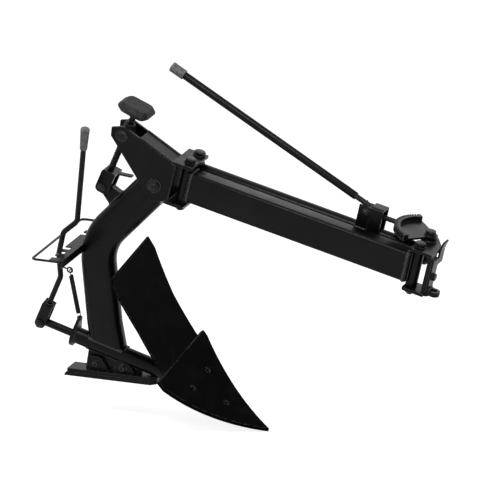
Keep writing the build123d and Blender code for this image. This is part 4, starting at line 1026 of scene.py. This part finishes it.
def weld_lines():
    """Body, place, width and points in millimetres of each bead, and True where it is closed."""
    full = size_of("bead")
    link = moved(HITCH_LINK, z=LINK_UP)
    rear_link = moved(HEAD, y=LINK_LEFT, z=LINK_UP)
    trunnion = mm_of(HEAD.inverted() @ TRUNNION)
    run, rise = -trunnion.x - HEAD_WEB, trunnion.z - CORNER_UP
    slope = degrees(atan2(rise, run) + asin(NOSE_R / hypot(run, rise)))
    bridge = turned(moved(HEAD, x=-HEAD_WEB, z=CORNER_UP), slope, "Y")
    up_leg = Vector((cos(radians(LEG_SLOPE)), 0, sin(radians(LEG_SLOPE))))
    off_leg = Vector((-up_leg.z, 0, up_leg.x))
    knee = LEG.translation - off_leg * mm(LEG_UNDER) - up_leg * mm(LEG_UPPER)
    upper_leg = axes(knee, up_leg, off_leg)
    lug = mm_of((YOKE - knee).dot(up_leg))
    root = turned(CROSS_PIN, TURN_LEAN, "Y")
    comb_low = -COMB_TOP - COMB_THICK / 2
    leg_rear = 201.8     # leg's rear side behind its pivot, at the comb's height
    leg_round = [
        (-leg_rear + LEG_CORNER * (1 - cos(radians(a))), 3 * side + LEG_CORNER * sin(radians(a)), -COMB_TOP)
        for side, turns in ((-1, (-42, -28, -14, 0)), (1, (0, 14, 28, 42))) for a in turns
    ]
    barrel_side, barrel_out = 9.6, 11.6     # where the beam's barrels meet its end plates
    link_barrel = 15.4   # just outside the link's barrels
    lines = [
        # Bracket: web to both plates, face plate to web, tongue and guide.
        *[("hitch", HITCH, full, [(36.6, -29, up), (36.6, 11, up)]) for up in (PLATES_IN, -PLATES_IN)],
        ("hitch", HITCH, 4, [(45.4, -20.4, -48), (45.4, -20.4, 38)]),
        ("hitch", HITCH, 4, [(45.6, -18, 40.3), (45.6, 11, 40.3)]),
        *[("hitch", HITCH, full, [(51.2, -16, up), (51.2, 16, up)]) for up in (-41.8, -55)],
        *[("hitch", HITCH, 4.5, [(45.2, 21, up), (45.2, 39, up)]) for up in (PLATES_OUT, PLATES_IN)],
        ("hitch", HITCH_LINK, 4, ring(20.4, PLATES_OUT), True),
        # Beam: end plates to the tube and to the barrels.
        ("beam", HITCH, 11, rounded_frame(-19, 23.6, 38.6, 9), True),
        ("beam", HEAD, 8, rounded_frame(18, 24, 39, 9), True),
        *[
            ("beam", base, full, [(out, side * barrel_side, -39), (out, side * barrel_side, 39)])
            for base, out in ((HITCH, -barrel_out), (HEAD, barrel_out)) for side in (1, -1)
        ],
        # Link: barrels, ears and strap to the tube.
        ("link", link, full, ring(link_barrel, LINK_R, 118, 242)),
        ("link", link, 4, ring(link_barrel, -LINK_R + 0.4, 118, 242)),
        *[("link", rear_link, full, ring(link_barrel, up, -62, 62)) for up in (LINK_R, -LINK_R)],
    ]
    for side in (-1, 1):
        lines += [
            ("link", link, full, [(-192, side * 16.2, 6.2), (-161, side * 16.2, 6.2)]),
            ("link", link, 4, [(-159, side * 17.6, -4), (-127, side * 17.6, -4)]),
            ("head", bridge, 6, [(x, side * (SIDE_IN + 2), 1) for x in (-10, -8 - BRIDGE_LONG)]),
            ("leg", upper_leg, full, [(lug - 21, side * 10.4, 51.2), (lug + 21, side * 10.4, 51.2)]),
            ("leg", upper_leg, full, [(lug + side * 22, -10, 51.6), (lug + side * 22, 10, 51.6)]),
            ("leg", SHAFT, 11, [(-56, side * 19, FOOT_UP - 3.2), (39, side * 19, FOOT_UP - 3.2)]),
            ("leg", SHAFT, 5, [(-60, side * 5.4, -20.6), (86, side * 5.4, -20.6)]),
            ("leg", LEG, 3, [
                (x, side * (COMB_HALF + 0.6), comb_low + 1.4) for x in (-COMB_FRONT - 5, -COMB_REAR + 1)
            ]),
            ("head", HEAD, full, [(0.4 - HEAD_WEB, y, side * PLATES_IN) for y in (-SIDE_IN, 78)]),
        ]
    lines += [
        # Head: side plates to the web.
        ("head", HEAD, 4.5, [(-HEAD_WEB, -29.5, -48), (-HEAD_WEB, -29.5, 49)]),
        ("head", HEAD, full, [(-HEAD_WEB - 8.4, SIDE_OUT + 0.4, up) for up in (-48, 48)]),
        # Leg: foot to the bearing tube, flange, comb and heel.
        *[("leg", SHAFT, full, hoop(x, BEARING_R + 0.4, -42, 42)) for x in (42, -58.5)],
        ("leg", SHAFT, full, hoop(FLANGE_THICK - BEARING_BACK, BEARING_R + 0.4), True),
        ("leg", LEG, 4.5, leg_round),
        ("leg", LEG, 5, [(-191, 5.4, -HEEL_TOP), (-49, 5.4, -HEEL_TOP)]),
        # Levers: tube to neck, neck to block, turning lever to its yoke and eye.
        ("width_lever", LEVER_TUBE, 4, ring(8.2, 0), True),
        ("width_lever", LEVER_TUBE, 3.4, ring(7.6, -30.5), True),
        ("plough_body", root, 4.5, ring(7.6, TURN_YOKE_RISE), True),
        ("plough_body", moved(CROSS_PIN, z=EYE_UP), 2.6, hoop(23, 3), True),
        ("plough_body", BODY, full, hoop(182.8, 22.5), True),
    ]
    return lines


class PLOUGH_OT_welds(Operator):
    """Lays the weld beads, joined to one piece for each moving part"""

    bl_idname = "plough.welds"
    bl_label = "Welds"

    def execute(self, context):
        beads = {}
        for body, base, width, points, *loop in weld_lines():
            closed = bool(loop)
            bead = wire(spaced(points, RIPPLE_GAP, closed), width / 2, 2, closed, RIPPLE)
            beads.setdefault(body, []).append(settled(bead, base))
        for body, pieces in beads.items():
            finished(joined(pieces), body + "_welds", body, "painted weld", smooth=60)
        return {"FINISHED"}


# ---------------------------------------------------------------- stage
def soft_light(name, place, target, width, tall, power):
    """Softbox at a place, turned to a target."""
    bpy.ops.object.light_add(type="AREA", location=place)
    light = bpy.context.object
    light.name = name
    light.data.shape = "RECTANGLE"
    light.data.size = width
    light.data.size_y = tall
    light.data.energy = power
    light.rotation_euler = (Vector(target) - Vector(place)).to_track_quat("-Z", "Y").to_euler()


def seen(tree):
    """1 for what the camera sees directly, in gloss or through glass."""
    path = add_node(tree, "LightPath")
    camera, gloss = path.outputs["Is Camera Ray"], path.outputs["Is Glossy Ray"]
    direct = add_node(tree, "Math", {0: camera, 1: gloss}, operation="MAXIMUM")
    return add_node(tree, "Math", {0: direct, 1: path.outputs["Is Transmission Ray"]}, operation="MAXIMUM")


def backdrop_world(colour):
    """Even room at 0.3 of white, plain white where it is seen."""
    world = bpy.data.worlds.new("white room")
    bpy.context.scene.world = world
    world.use_nodes = True
    tree = world.node_tree
    background = tree.nodes["Background"]
    strength = add_node(tree, "MapRange", {"Value": seen(tree), "To Min": 0.3, "To Max": 1.0})
    plug(tree, background, {"Color": rgba(colour), "Strength": strength})


# Point from which the view's middle lies across and up the view, and the camera's distance.
VIEW_FROM = Vector((-0.761, 0, -0.111))
VIEW_ACROSS = 0.2375
VIEW_UP = 0.1375
VIEW_AWAY = 4


class PLOUGH_OT_stage(Operator):
    """Sets the floor, the lights and the view"""

    bl_idname = "plough.stage"
    bl_label = "Stage"

    def execute(self, context):
        studio = context.scene.plough_studio
        low, high = cad_box
        middle = (Vector(low) + Vector(high)) / 2
        floor = started(bpy.ops.mesh.primitive_plane_add, size=14, location=(middle.x, 0, low[2] - mm(1)))
        floor.name = "floor"
        tree, shader, _ = start_finish("pale floor")
        glow = add_node(tree, "Math", {0: seen(tree), 1: studio.floor_glow}, operation="MULTIPLY")
        plug(tree, shader, {
            "Base Color": rgba(studio.floor_colour), "Roughness": 0.9, "Specular IOR Level": 0.0,
            "Emission Color": (1, 1, 1, 1), "Emission Strength": glow,
        })
        floor.data.materials.append(bpy.data.materials["pale floor"])
        backdrop_world((1, 1, 1))
        # Place, target, width, height and power of each softbox.
        soft_light("overhead", (middle.x + 0.4, -1.5, 2.4), middle, 2.6, 0.5, studio.key_power)
        soft_light("behind", (middle.x - 0.3, 2.4, 1.2), middle, 1.0, 1.0, studio.back_power)
        soft_light("left side", (middle.x - 2.0, -0.5, 1.7), middle, 0.7, 0.7, studio.left_power)
        soft_light("right side", (middle.x + 1.5, -2.4, 0.9), middle, 1.6, 1.6, studio.side_power)

        across = Vector((cos(studio.azimuth), sin(studio.azimuth), 0))
        away = Vector((-sin(studio.azimuth), cos(studio.azimuth), 0)) * cos(studio.elevation)
        away.z = -sin(studio.elevation)
        aim = VIEW_FROM + across * VIEW_ACROSS + across.cross(away) * VIEW_UP
        bpy.ops.object.camera_add(location=aim - away * VIEW_AWAY)
        camera = context.object
        camera.data.type = "ORTHO"
        camera.data.ortho_scale = studio.span
        camera.rotation_euler = away.to_track_quat("-Z", "Y").to_euler()
        context.scene.camera = camera
        context.scene.view_settings.view_transform = "Standard"
        return {"FINISHED"}


# ---------------------------------------------------------------- panel and start
OPERATORS = [
    PLOUGH_OT_finishes, PLOUGH_OT_plates, PLOUGH_OT_upright_pins, PLOUGH_OT_cross_bolts, PLOUGH_OT_heel_bolts,
    PLOUGH_OT_share_bolts, PLOUGH_OT_hitch_bolt, PLOUGH_OT_depth_screw, PLOUGH_OT_grips,
    PLOUGH_OT_spring_eye, PLOUGH_OT_turn_spring, PLOUGH_OT_welds, PLOUGH_OT_stage,
]


class PLOUGH_PT_panel(Panel):
    """Steps that dress the plough, in order"""

    bl_label = "Mouldboard plough"
    bl_space_type = "VIEW_3D"
    bl_region_type = "UI"
    bl_category = "Plough"

    def draw(self, context):
        for operator in OPERATORS:
            self.layout.operator(operator.bl_idname)
        scene = context.scene
        for settings in (scene.plough_sizes, scene.plough_colours, scene.plough_studio):
            box = self.layout.box()
            for name in settings.__annotations__:
                box.prop(settings, name)


CLASSES = [PloughColours, PloughSizes, PloughStudio, *OPERATORS, PLOUGH_PT_panel]


def register():
    for cls in CLASSES:
        bpy.utils.register_class(cls)
    bpy.types.Scene.plough_colours = PointerProperty(type=PloughColours)
    bpy.types.Scene.plough_sizes = PointerProperty(type=PloughSizes)
    bpy.types.Scene.plough_studio = PointerProperty(type=PloughStudio)


def unregister():
    del bpy.types.Scene.plough_colours
    del bpy.types.Scene.plough_sizes
    del bpy.types.Scene.plough_studio
    for cls in reversed(CLASSES):
        bpy.utils.unregister_class(cls)


def main():
    register()
    for operator in OPERATORS:
        group, name = operator.bl_idname.split(".")
        getattr(getattr(bpy.ops, group), name)()


if __name__ == "__main__":
    main()
